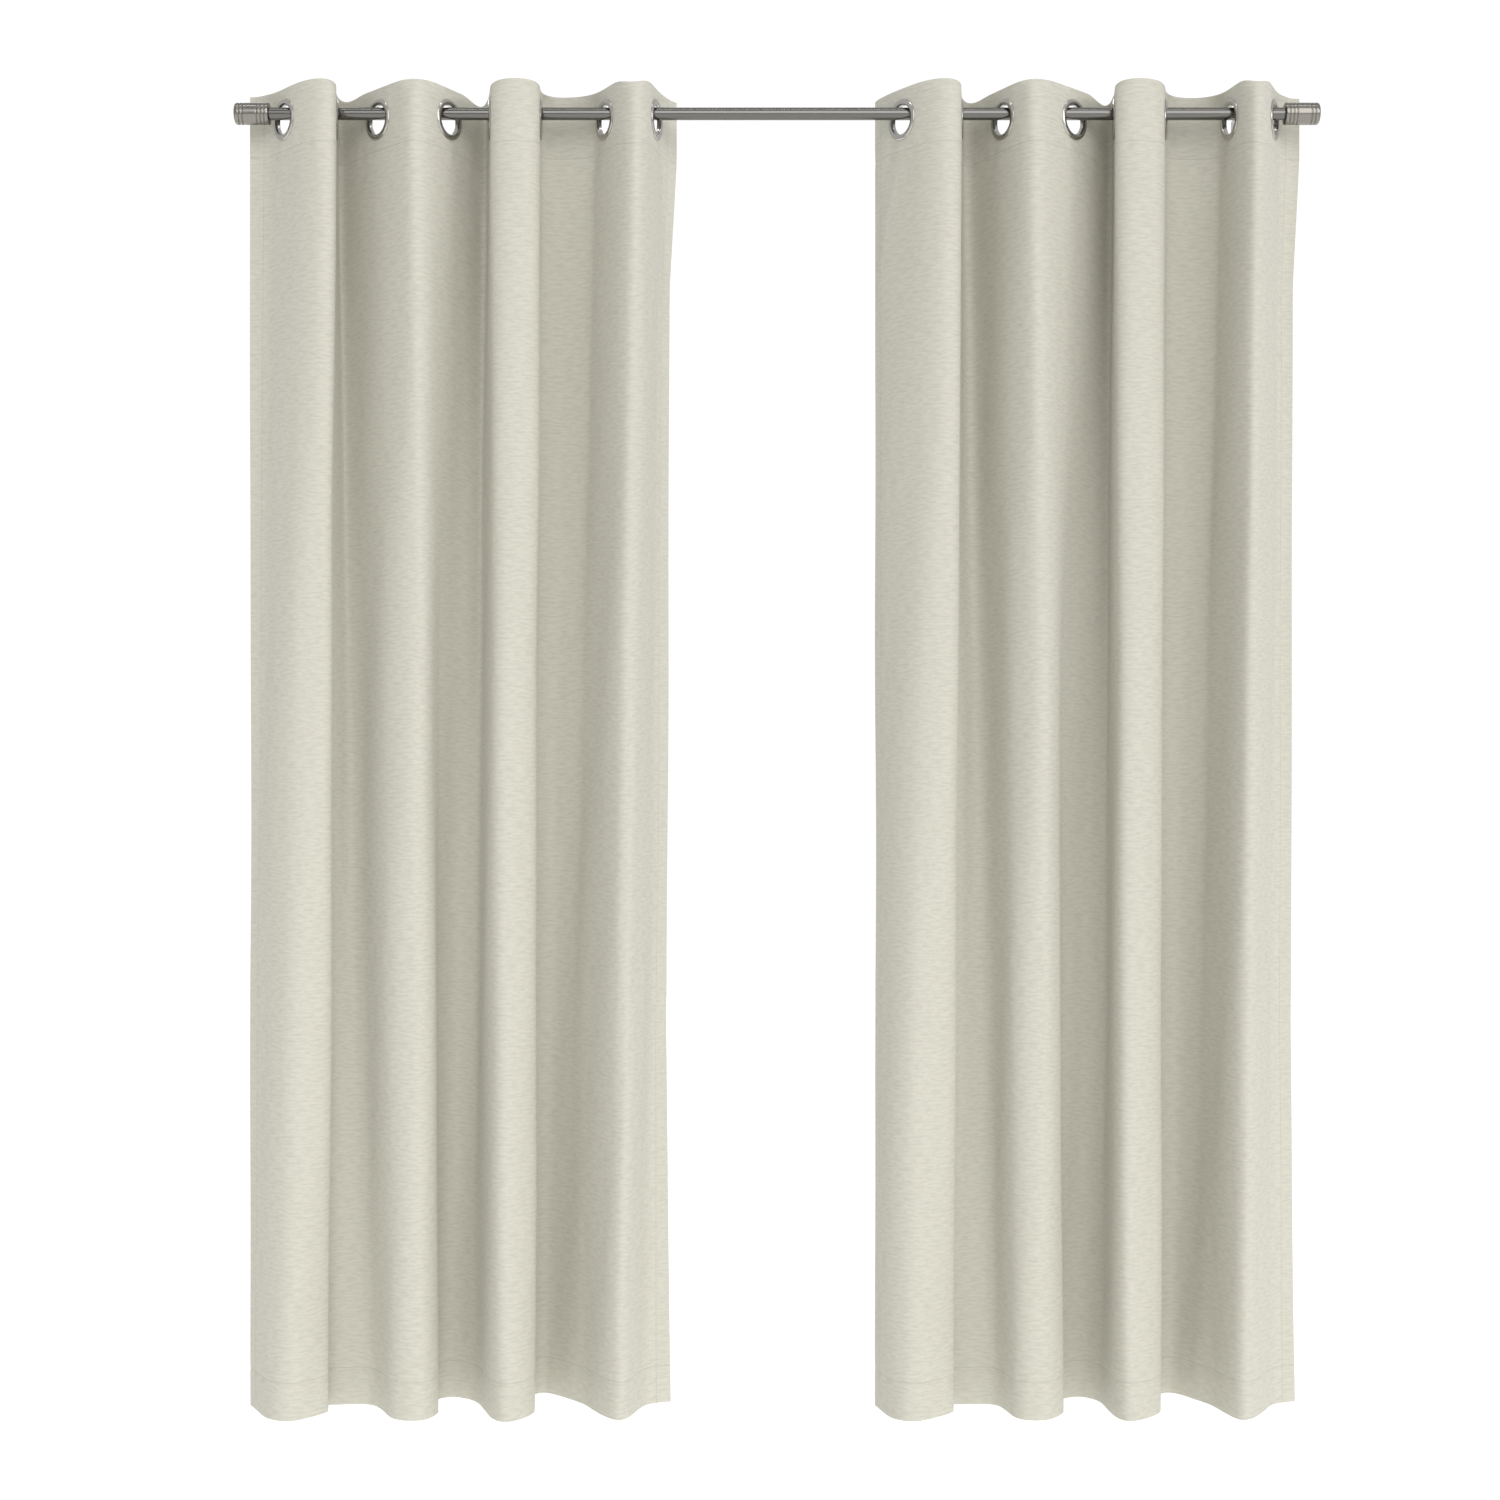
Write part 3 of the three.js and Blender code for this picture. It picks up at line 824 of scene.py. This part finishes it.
class Drape:
    """Where any point of one panel hangs, by its flat distance from the left edge and from the
    top. Each thread hangs from the header's line of folds to the hem's line of folds."""

    def __init__(self, side):
        self.side = side
        rod_middle, _ = rod_axis()
        self.eyelets = [eyelet_place(side, number + 1) for number in range(EYELETS)]
        top = []
        for middle, facing in self.eyelets:
            top.append((middle[:2], math.atan2(facing[0], -facing[1])))
        self.top = FoldLine(header_points(top, TOP_TURNS[side]))
        self.hem = FoldLine(hem_points(side, rod_middle))
        self.top_z = self.eyelets[0][0][2] + EYELET_BELOW_TOP
        self.seed = 0.0 if side == "left" else 17.0

    def eyelet_flats(self):
        return SIDE_MARGIN + FLAT_PITCH * np.arange(EYELETS)

    def header(self, flat, down):
        """The header's line. It turns more softly at the free top edge than at the eyelets."""
        spread = np.linspace(-CROWN_REACH, CROWN_REACH, 9)
        inside = np.clip(flat[:, None] + spread, 0, PANEL_WIDTH)
        reach = np.minimum(flat, PANEL_WIDTH - flat) / CROWN_REACH
        soft = self.top.at(inside.ravel()).reshape(len(flat), -1, 2).mean(1)
        free = np.clip((CROWN_HEIGHT - down) / CROWN_HEIGHT, 0, 1) * np.clip(reach, 0, 1)
        return self.top.at(flat) * (1 - free[:, None]) + soft * free[:, None]

    def line(self, flat, down, fall):
        """The place in plan at a share of the way from the header's folds to the hem's."""
        share = fall[:, None]
        return self.header(flat, down) * (1 - share) + self.hem.at(flat) * share

    def place(self, flat, down, lift):
        """Points of the cloth, lifted towards the room side of its surface."""
        below = np.clip((down - HEADER_HEIGHT) / (PANEL_HEIGHT - HEADER_HEIGHT), 0, 1)
        steady = np.sin(np.pi * np.clip(below / STEADY_FALL, 0, 1)) / np.pi
        fall = below - STEADY_FALL / 2 * steady
        nudge = 1 * MM
        here = self.line(flat, down, fall)
        tangent = self.line(flat + nudge, down, fall) - self.line(flat - nudge, down, fall)
        tangent /= np.maximum(np.linalg.norm(tangent, axis=1), 1e-9)[:, None]
        normal = np.stack([tangent[:, 1], -tangent[:, 0]], 1)
        plan = here + normal * (lift + self.ripple(flat, down, below))[:, None]
        loose = np.clip((flat - PANEL_WIDTH + SIDE_MARGIN) / SIDE_MARGIN, 0, 1)
        swing = np.clip(below / SWING_GROWS, 0, 1) * np.clip((1 - below) / SWING_FADES, 0, 1)
        plan[:, 0] -= EDGE_SWING * loose * swing
        z = self.top_z - down - self.sag(flat, below)
        return np.column_stack([plan, z])

    def ripple(self, flat, down, below):
        """Puckers beside the seams, and the slow wander of the threads further down."""
        sizes = bpy.context.scene.curtain_sizes
        free = self.away_from_eyelets(flat, down)
        puckers = 0
        for seam in (HEADER_HEIGHT, PANEL_HEIGHT - HEM_HEIGHT):
            near = np.exp(-(((down - seam) / PUCKER_REACH) ** 2))
            wave = np.sin(flat / (4.1 * MM) + 2 * np.sin(flat / (37 * MM) + self.seed))
            groove = np.exp(-(((down - seam) / SEAM_GROOVE) ** 2))
            puckers = puckers + sizes.pucker_depth * (0.45 * near * wave - groove)
        # three slow waves of unlike lengths, so that no fold repeats
        wander = (
            np.sin(flat / (29 * MM) + down / (210 * MM) + self.seed)
            + 0.8 * np.sin(flat / (47 * MM) - down / (330 * MM) + 2.1 + self.seed)
            + 0.5 * np.sin(flat / (17 * MM) + down / (95 * MM) + 4.4)
        )
        grow = np.clip(below * 4, 0, 1)
        return puckers * free + sizes.sway * 0.5 * wander * grow

    def away_from_eyelets(self, flat, down):
        """0 under the eyelets' flanges, and 1 from a little beyond them."""
        nearest = np.full(len(flat), 1.0)
        for centre in self.eyelet_flats():
            distance = np.hypot(flat - centre, down - EYELET_BELOW_TOP)
            nearest = np.minimum(nearest, distance)
        return np.clip((nearest - EYELET_RADIUS * MM) / FREE_BEYOND, 0, 1)

    def sag(self, flat, below):
        """How far the header droops in the folds where nothing holds it up."""
        total = 0
        for number, depth in DROOPS.items():
            first = self.eyelet_flats()[number - 1] + FLAT_REACH
            last = self.eyelet_flats()[number] - FLAT_REACH
            share = np.clip((flat - first) / (last - first), 0, 1)
            total = total + depth * np.sin(np.pi * share) ** 2
        return total * (1 - below)

    def weights(self, flat):
        """How much of the leading eyelet's travel each thread takes: that of the eyelets it
        passes through, and an even change across each fold."""
        ratios = eyelet_ratios(self.side)
        knots = []
        values = []
        for centre, ratio in zip(self.eyelet_flats(), ratios):
            knots += [centre - FLAT_REACH, centre + FLAT_REACH]
            values += [ratio, ratio]
        return np.interp(flat, knots, values)


def eyelet_ratios(side):
    """Each eyelet's share of the leading eyelet's travel, from the frame's couplings."""
    couplings = frame["record"]["behaviour"]["couplings"]
    shares = {coupling["joint"]: abs(coupling["ratio"]) for coupling in couplings}
    bodies = [body_of_node(f"{side}_eyelet_{number + 1}_front") for number in range(EYELETS)]
    ends = {FIXED_BODY: 0.0, lead_body(side): 1.0}
    return [ends[body] if body in ends else shares[f"{body}_slide"] for body in bodies]


def lead_body(side):
    return "left_eyelet_8" if side == "left" else "right_eyelet_1"


# ---------- the cloth's meshes ----------


def spaced(start, end, step):
    """Even places from start to end, about a step apart."""
    count = max(1, round((end - start) / step))
    return np.linspace(start, end, count + 1)


def panel_rows():
    """Distances down from the top edge: close together in the header and beside the seams."""
    sizes = bpy.context.scene.curtain_sizes
    hem_seam = PANEL_HEIGHT - HEM_HEIGHT
    bands = [
        spaced(0, HEADER_HEIGHT - 6 * MM, 4.7 * MM),
        HEADER_HEIGHT + np.array([-3, 0, 3, 8, 15]) * MM,
        spaced(HEADER_HEIGHT + 28 * MM, hem_seam - 28 * MM, sizes.row_height),
        hem_seam + np.array([-15, -8, -3, 0, 3]) * MM,
        spaced(hem_seam + 10 * MM, PANEL_HEIGHT, 12 * MM),
    ]
    return np.concatenate(bands)


def cloth_piece(name, drape, columns, rows, lift, thick):
    """A sheet that hangs on the drape, with an opening for each eyelet that it reaches."""
    flat, down = (grid.ravel() for grid in np.meshgrid(columns, rows))
    wide = len(columns)
    corners = np.arange(len(flat)).reshape(len(rows), wide)
    faces = np.stack(
        [corners[:-1, :-1], corners[1:, :-1], corners[1:, 1:], corners[:-1, 1:]], -1
    ).reshape(-1, 4)
    for centre in drape.eyelet_flats():
        distance = np.hypot(flat - centre, down - EYELET_BELOW_TOP)
        inside = distance[faces].mean(1) < HOLE_RADIUS
        rim = np.intersect1d(faces[inside], faces[~inside])
        faces = faces[~inside]
        if len(rim):
            share = HOLE_RADIUS / np.maximum(distance[rim], 1e-6)
            flat[rim] = centre + (flat[rim] - centre) * share
            down[rim] = EYELET_BELOW_TOP + (down[rim] - EYELET_BELOW_TOP) * share
    used, faces = np.unique(faces, return_inverse=True)
    faces = faces.reshape(-1, 4)
    flat = flat[used]
    down = down[used]
    mesh = bpy.data.meshes.new(name)
    points = drape.place(flat, down, np.full(len(flat), lift))
    mesh.from_pydata(points.tolist(), [], faces.tolist())
    corner_points = np.empty(len(mesh.loops), np.int32)
    mesh.loops.foreach_get("vertex_index", corner_points)
    across = np.column_stack([flat, PANEL_HEIGHT - down])[corner_points]
    mesh.uv_layers.new(name="cloth").data.foreach_set("uv", across.astype(np.float32).ravel())
    weight = mesh.attributes.new("follow", "FLOAT", "POINT")
    weight.data.foreach_set("value", drape.weights(flat).astype(np.float32))
    piece = bpy.data.objects.new(name, mesh)
    bpy.context.collection.objects.link(piece)
    apply_modifier(piece, "SOLIDIFY", thickness=thick, offset=0.0, use_even_offset=False)
    make_active(piece)
    bpy.ops.object.shade_smooth_by_angle(angle=math.radians(60))
    return piece


def hang(piece):
    """Takes the follow weights off the piece and bakes its place into its mesh."""
    values = np.empty(len(piece.data.vertices), np.float32)
    piece.data.attributes["follow"].data.foreach_get("value", values)
    piece.data.attributes.remove(piece.data.attributes["follow"])
    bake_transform(piece)


def side_strips(name, drape):
    """The turned-in side hems, one at each edge, as one piece."""
    hem_top = PANEL_HEIGHT - HEM_HEIGHT - 1 * MM
    rows = spaced(HEADER_HEIGHT + 1 * MM, hem_top, 22 * MM)
    strips = []
    for start in (0.0, PANEL_WIDTH - SIDE_HEM):
        columns = spaced(start, start + SIDE_HEM, 6 * MM)
        strips.append(cloth_piece(name, drape, columns, rows, -HEM_BEHIND, TURNED_IN))
    make_active(strips[0])
    strips[1].select_set(True)
    bpy.ops.object.join()
    return strips[0]


class CURTAINS_OT_panels(bpy.types.Operator):
    """Hangs the two cloth panels, with their header facings, side hems and bottom hems"""

    bl_idname = "curtains.panels"
    bl_label = "Panels"

    def execute(self, context):
        sizes = context.scene.curtain_sizes
        cloth = finish("woven_curtain_cloth", cloth_material)
        for side in SIDES:
            drape = Drape(side)
            columns = spaced(0, PANEL_WIDTH, sizes.column_width)
            panel = cloth_piece(
                f"{side}_panel", drape, columns, panel_rows(), 0.0, sizes.cloth_thickness
            )
            header_rows = spaced(1 * MM, HEADER_HEIGHT, 5 * MM)
            facing = cloth_piece(
                f"{side}_header_facing",
                drape,
                columns[1:-1],
                header_rows,
                -FACING_BEHIND,
                TURNED_IN,
            )
            hem_rows = spaced(PANEL_HEIGHT - HEM_HEIGHT, PANEL_HEIGHT, 12 * MM)
            hem = cloth_piece(
                f"{side}_bottom_hem", drape, columns[1:-1], hem_rows, -HEM_BEHIND, TURNED_IN
            )
            edges = side_strips(f"{side}_side_hems", drape)
            dress(panel, cloth, None, [f"{side}_cloth"])
            dress(facing, cloth, None, [f"{side}_header_stiffener"])
            dress(hem, cloth)
            dress(edges, cloth)
            for piece in (panel, facing, hem, edges):
                hang(piece)
        return {"FINISHED"}


# ---------- eyelets ----------


class CURTAINS_OT_eyelets(bpy.types.Operator):
    """Presses the sixteen eyelets, each a domed front with its barrel and a back washer"""

    bl_idname = "curtains.eyelets"
    bl_label = "Eyelets"

    def execute(self, context):
        nickel = finish("bright_nickel_plating", eyelet_material)
        patterns = {
            "front": turned_piece("eyelet_front_pattern", EYELET_FRONT, True),
            "back": turned_piece("eyelet_back_pattern", EYELET_BACK, True),
        }
        for side in SIDES:
            for number in range(1, EYELETS + 1):
                middle, facing = eyelet_place(side, number)
                for half, pattern in patterns.items():
                    node = f"{side}_eyelet_{number}_{half}"
                    piece = copy_of(pattern, f"{side}_ring_{number}_{half}")
                    put(piece, facing_matrix(middle, facing))
                    smooth(piece)
                    dress(piece, nickel, body_of_node(node), [node])
        for pattern in patterns.values():
            bpy.data.objects.remove(pattern)
        return {"FINISHED"}


# ---------- rod, finials and plugs ----------


class CURTAINS_OT_rod(bpy.types.Operator):
    """Draws the rod's tube, with its ends broken"""

    bl_idname = "curtains.rod"
    bl_label = "Rod"

    def execute(self, context):
        middle, half = rod_axis()
        length = half / MM
        inner = ROD_RADIUS - ROD_WALL
        edge = 0.2
        stations = [-length + edge, *np.linspace(-length, length, 9)[1:-1], length - edge]
        section = [(inner, -length), (ROD_RADIUS - edge, -length)]
        section += [(ROD_RADIUS, float(station)) for station in stations]
        section += [(ROD_RADIUS - edge, length), (inner, length)]
        tube = turned_piece("curtain_rod", section, True)
        put(tube, facing_matrix(middle, (1, 0)))
        smooth(tube)
        steel = finish("brushed_steel_tube", rod_material)
        dress(tube, steel, body_of_node("rod_tube"), ["rod_tube"])
        return {"FINISHED"}


def finial_section():
    """The finial's outline from its spigot to the middle of its outer end."""
    body = FINIAL_RADIUS
    end = CLEAR + FINIAL_LENGTH
    section = [
        (SPIGOT_RADIUS - 0.6, -SPIGOT_LENGTH),
        (SPIGOT_RADIUS, -SPIGOT_LENGTH + 0.8),
        (SPIGOT_RADIUS, CLEAR),
        (body - 0.9, CLEAR),
        (body - 0.25, CLEAR + 0.25),
        (body, CLEAR + 0.9),
    ]
    for distance in reversed(GROOVES):
        middle = end - distance
        half = GROOVE_WIDTH / 2
        section += [
            (body, middle - half - 0.9),
            (body, middle - half - 0.25),
            (body - 0.12, middle - half),
            (body - GROOVE_DEPTH, middle - 0.35),
            (body - GROOVE_DEPTH, middle + 0.35),
            (body - 0.12, middle + half),
            (body, middle + half + 0.25),
            (body, middle + half + 0.9),
        ]
    for degrees in (0, 18, 36, 54, 72, 90):
        angle = math.radians(degrees)
        section.append((
            body - FINIAL_EDGE * (1 - math.cos(angle)),
            end - FINIAL_EDGE * (1 - math.sin(angle)),
        ))
    # a fine ring is turned into the end face
    section += [(9.0, end), (8.6, end - 0.25), (8.2, end - 0.25), (7.8, end), (3.0, end)]
    return section


def plug_section():
    """The nylon plug's closed outline, with its gripping notches."""
    inner = SPIGOT_RADIUS + CLEAR
    outer = ROD_RADIUS - ROD_WALL - CLEAR
    section = [(inner, -PLUG_LENGTH), (outer - 0.6, -PLUG_LENGTH), (outer, -PLUG_LENGTH + 0.8)]
    for notch in PLUG_NOTCHES:
        section += [
            (outer, -notch - 1),
            (outer - 0.4, -notch - 0.4),
            (outer - 0.4, -notch + 0.4),
            (outer, -notch + 1),
        ]
    return section + [(outer, -0.4), (outer - 0.4, 0), (inner, 0)]


class CURTAINS_OT_finials(bpy.types.Operator):
    """Turns the two grooved finials and the nylon plugs that hold them"""

    bl_idname = "curtains.finials"
    bl_label = "Finials"

    def execute(self, context):
        nickel = finish("satin_nickel_plating", nickel_material)
        nylon = finish("moulded_black_nylon", nylon_material)
        middle, half = rod_axis()
        for side, outward in (("left", -1), ("right", 1)):
            place = facing_matrix(middle + Vector((outward * half, 0, 0)), (outward, 0))
            finial = turned_piece(f"{side}_turned_finial", finial_section(), False)
            put(finial, place)
            smooth(finial, 28)
            node = f"{side}_finial"
            dress(finial, nickel, body_of_node(node), [node])
            plug = turned_piece(f"{side}_plug", plug_section(), True)
            put(plug, place)
            smooth(plug)
            node = f"{side}_finial_plug"
            dress(plug, nylon, body_of_node(node), [node])
        return {"FINISHED"}


# ---------- brackets and screws ----------


def refined(node, name, edge):
    """A copy of a CAD piece with its faces joined up and its edges broken by a small round."""
    piece = frame["nodes"][node].copy()
    piece.data = frame["nodes"][node].data.copy()
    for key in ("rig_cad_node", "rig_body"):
        if key in piece:
            del piece[key]
    piece.parent = None
    piece.name = name
    piece.data.name = name
    bpy.context.collection.objects.link(piece)
    make_active(piece)
    bpy.ops.object.mode_set(mode="EDIT")
    bpy.ops.mesh.select_all(action="SELECT")
    bpy.ops.mesh.remove_doubles(threshold=0.01 * MM)
    bpy.ops.mesh.dissolve_limited(angle_limit=math.radians(1))
    bpy.ops.object.mode_set(mode="OBJECT")
    apply_modifier(
        piece, "BEVEL", width=edge, segments=3, limit_method="ANGLE", angle_limit=math.radians(40)
    )
    smooth(piece, 40)
    return piece


class CURTAINS_OT_brackets(bpy.types.Operator):
    """Finishes the wall plates and the arms with their cups"""

    bl_idname = "curtains.brackets"
    bl_label = "Brackets"

    def execute(self, context):
        zinc = finish("zinc_plated_steel", bracket_material)
        for side in SIDES:
            for node, name in (("wall_plate", "plate"), ("bracket_arm", "arm")):
                full = f"{side}_{node}"
                piece = refined(full, f"{side}_{name}", BRACKET_EDGE)
                dress(piece, zinc, body_of_node(full), [full])
        return {"FINISHED"}


class CURTAINS_OT_screws(bpy.types.Operator):
    """Finishes the thumb screws under the cups and the screws in the wall plates"""

    bl_idname = "curtains.screws"
    bl_label = "Screws"

    def execute(self, context):
        zinc = finish("zinc_plated_steel", bracket_material)
        for side in SIDES:
            for node in ("lock_screw", "wall_screw_upper", "wall_screw_lower"):
                full = f"{side}_{node}"
                piece = refined(full, f"{side}_fine_{node}", SCREW_EDGE)
                dress(piece, zinc, body_of_node(full), [full])
        return {"FINISHED"}


# ---------- stage ----------

FLOOR_SIZE = 14
FLOOR_BELOW = 0.13  # from the hem down to the floor
# soft suns, each with its place from the middle of the panels, strength and width in degrees
SUNS = {
    "key_light": ((4.9, -3.4, 1.2), 0.52, 22),
    "fill_light": ((1.1, -4.9, 1.7), 1.16, 50),
    "back_light": ((-0.8, 5.0, 1.7), 0.45, 30),
}
STRIP_LENGTH = 2.6  # a strip light above the rod gives it its long highlight
STRIP_WIDTH = 0.06
STRIP_OFFSET = (0, -0.35, 1.4)  # from the middle of the rod
STRIP_POWER = 5
WHITE = (1, 1, 1, 1)
ROOM_LIGHT = 0.63
BACKDROP_LIGHT = 1.05
LENS = 52.03  # focal length and sensor width in millimetres
SENSOR_WIDTH = 36
CAMERA_OFFSET = (-0.0436, -3.5, -1.027)  # from the middle of the rod


def add_light(name, kind, place, target, strength, **shape):
    """A soft light that points at a place."""
    light = bpy.data.lights.new(name, kind)
    light.energy = strength
    for key, value in shape.items():
        setattr(light, key, value)
    lamp = bpy.data.objects.new(name, light)
    bpy.context.collection.objects.link(lamp)
    lamp.location = place
    lamp.rotation_euler = (Vector(target) - Vector(place)).to_track_quat("-Z", "Y").to_euler()
    return lamp


def add_floor(place):
    """A wide floor with that middle."""
    start_clean()
    bpy.ops.mesh.primitive_grid_add(x_subdivisions=8, y_subdivisions=8, size=FLOOR_SIZE)
    floor = bpy.context.object
    floor.name = "floor"
    floor.data.transform(Matrix.Translation(place))
    floor.data.materials.append(finish("backlit_white_acrylic", floor_material))


def add_world(scene):
    """Even light from all round. The camera sees a whiter backdrop, which lights nothing."""
    world = bpy.data.worlds.new("studio")
    scene.world = world
    world.use_nodes = True
    tree = world.node_tree
    shade = tree.nodes["Background"]
    shade.inputs["Color"].default_value = WHITE
    shade.inputs["Strength"].default_value = ROOM_LIGHT
    backdrop = add_node(
        tree, "ShaderNodeBackground", {"Color": WHITE, "Strength": BACKDROP_LIGHT}
    )
    path = add_node(tree, "ShaderNodeLightPath")
    choice = add_node(
        tree,
        "ShaderNodeMixShader",
        None,
        {0: path.outputs["Is Camera Ray"], 1: shade.outputs[0], 2: backdrop.outputs[0]},
    )
    tree.links.new(choice.outputs[0], tree.nodes["World Output"].inputs["Surface"])


def add_camera(scene, place):
    """A level camera that looks at the wall."""
    lens = bpy.data.cameras.new("camera")
    lens.lens = LENS
    lens.sensor_width = SENSOR_WIDTH
    camera = bpy.data.objects.new("camera", lens)
    bpy.context.collection.objects.link(camera)
    camera.location = place
    camera.rotation_euler = (math.radians(90), 0, 0)
    scene.camera = camera


class CURTAINS_OT_stage(bpy.types.Operator):
    """Lays the floor and sets the camera, the lights and the pale surroundings"""

    bl_idname = "curtains.stage"
    bl_label = "Stage"

    def execute(self, context):
        scene = context.scene
        low, high = cad_box
        middle, _ = rod_axis()
        add_floor((middle.x, middle.y, low.z - FLOOR_BELOW))
        hang_middle = Vector((middle.x, middle.y, (low.z + high.z) / 2))
        for name, (offset, strength, width) in SUNS.items():
            place = hang_middle + Vector(offset)
            add_light(name, "SUN", place, hang_middle, strength, angle=math.radians(width))
        strip = {"shape": "RECTANGLE", "size": STRIP_LENGTH, "size_y": STRIP_WIDTH}
        strip_place = middle + Vector(STRIP_OFFSET)
        add_light("rod_light", "AREA", strip_place, middle, STRIP_POWER, **strip)
        add_world(scene)
        add_camera(scene, middle + Vector(CAMERA_OFFSET))
        scene.view_settings.view_transform = "Standard"
        return {"FINISHED"}


# ---------- the panel in the sidebar ----------

STEPS = (
    CURTAINS_OT_stage,
    CURTAINS_OT_panels,
    CURTAINS_OT_eyelets,
    CURTAINS_OT_rod,
    CURTAINS_OT_finials,
    CURTAINS_OT_brackets,
    CURTAINS_OT_screws,
)


class CURTAINS_PT_build(bpy.types.Panel):
    """Lists the steps that build the curtains"""

    bl_idname = "CURTAINS_PT_build"
    bl_label = "Eyelet Curtains"
    bl_space_type = "VIEW_3D"
    bl_region_type = "UI"
    bl_category = "Curtains"

    def draw(self, context):
        for group in (context.scene.curtain_sizes, context.scene.curtain_colours):
            for name in group.bl_rna.properties.keys():
                if name not in ("rna_type", "name"):
                    self.layout.prop(group, name)
        for step in STEPS:
            self.layout.operator(step.bl_idname)


CLASSES = (CurtainSizes, CurtainColours, *STEPS, CURTAINS_PT_build)


def register():
    for item in CLASSES:
        bpy.utils.register_class(item)
    bpy.types.Scene.curtain_sizes = bpy.props.PointerProperty(type=CurtainSizes)
    bpy.types.Scene.curtain_colours = bpy.props.PointerProperty(type=CurtainColours)


def unregister():
    del bpy.types.Scene.curtain_colours
    del bpy.types.Scene.curtain_sizes
    for item in reversed(CLASSES):
        bpy.utils.unregister_class(item)


def main():
    register()
    bpy.ops.curtains.stage()
    bpy.ops.curtains.panels()
    bpy.ops.curtains.eyelets()
    bpy.ops.curtains.rod()
    bpy.ops.curtains.finials()
    bpy.ops.curtains.brackets()
    bpy.ops.curtains.screws()


if __name__ == "__main__":
    main()
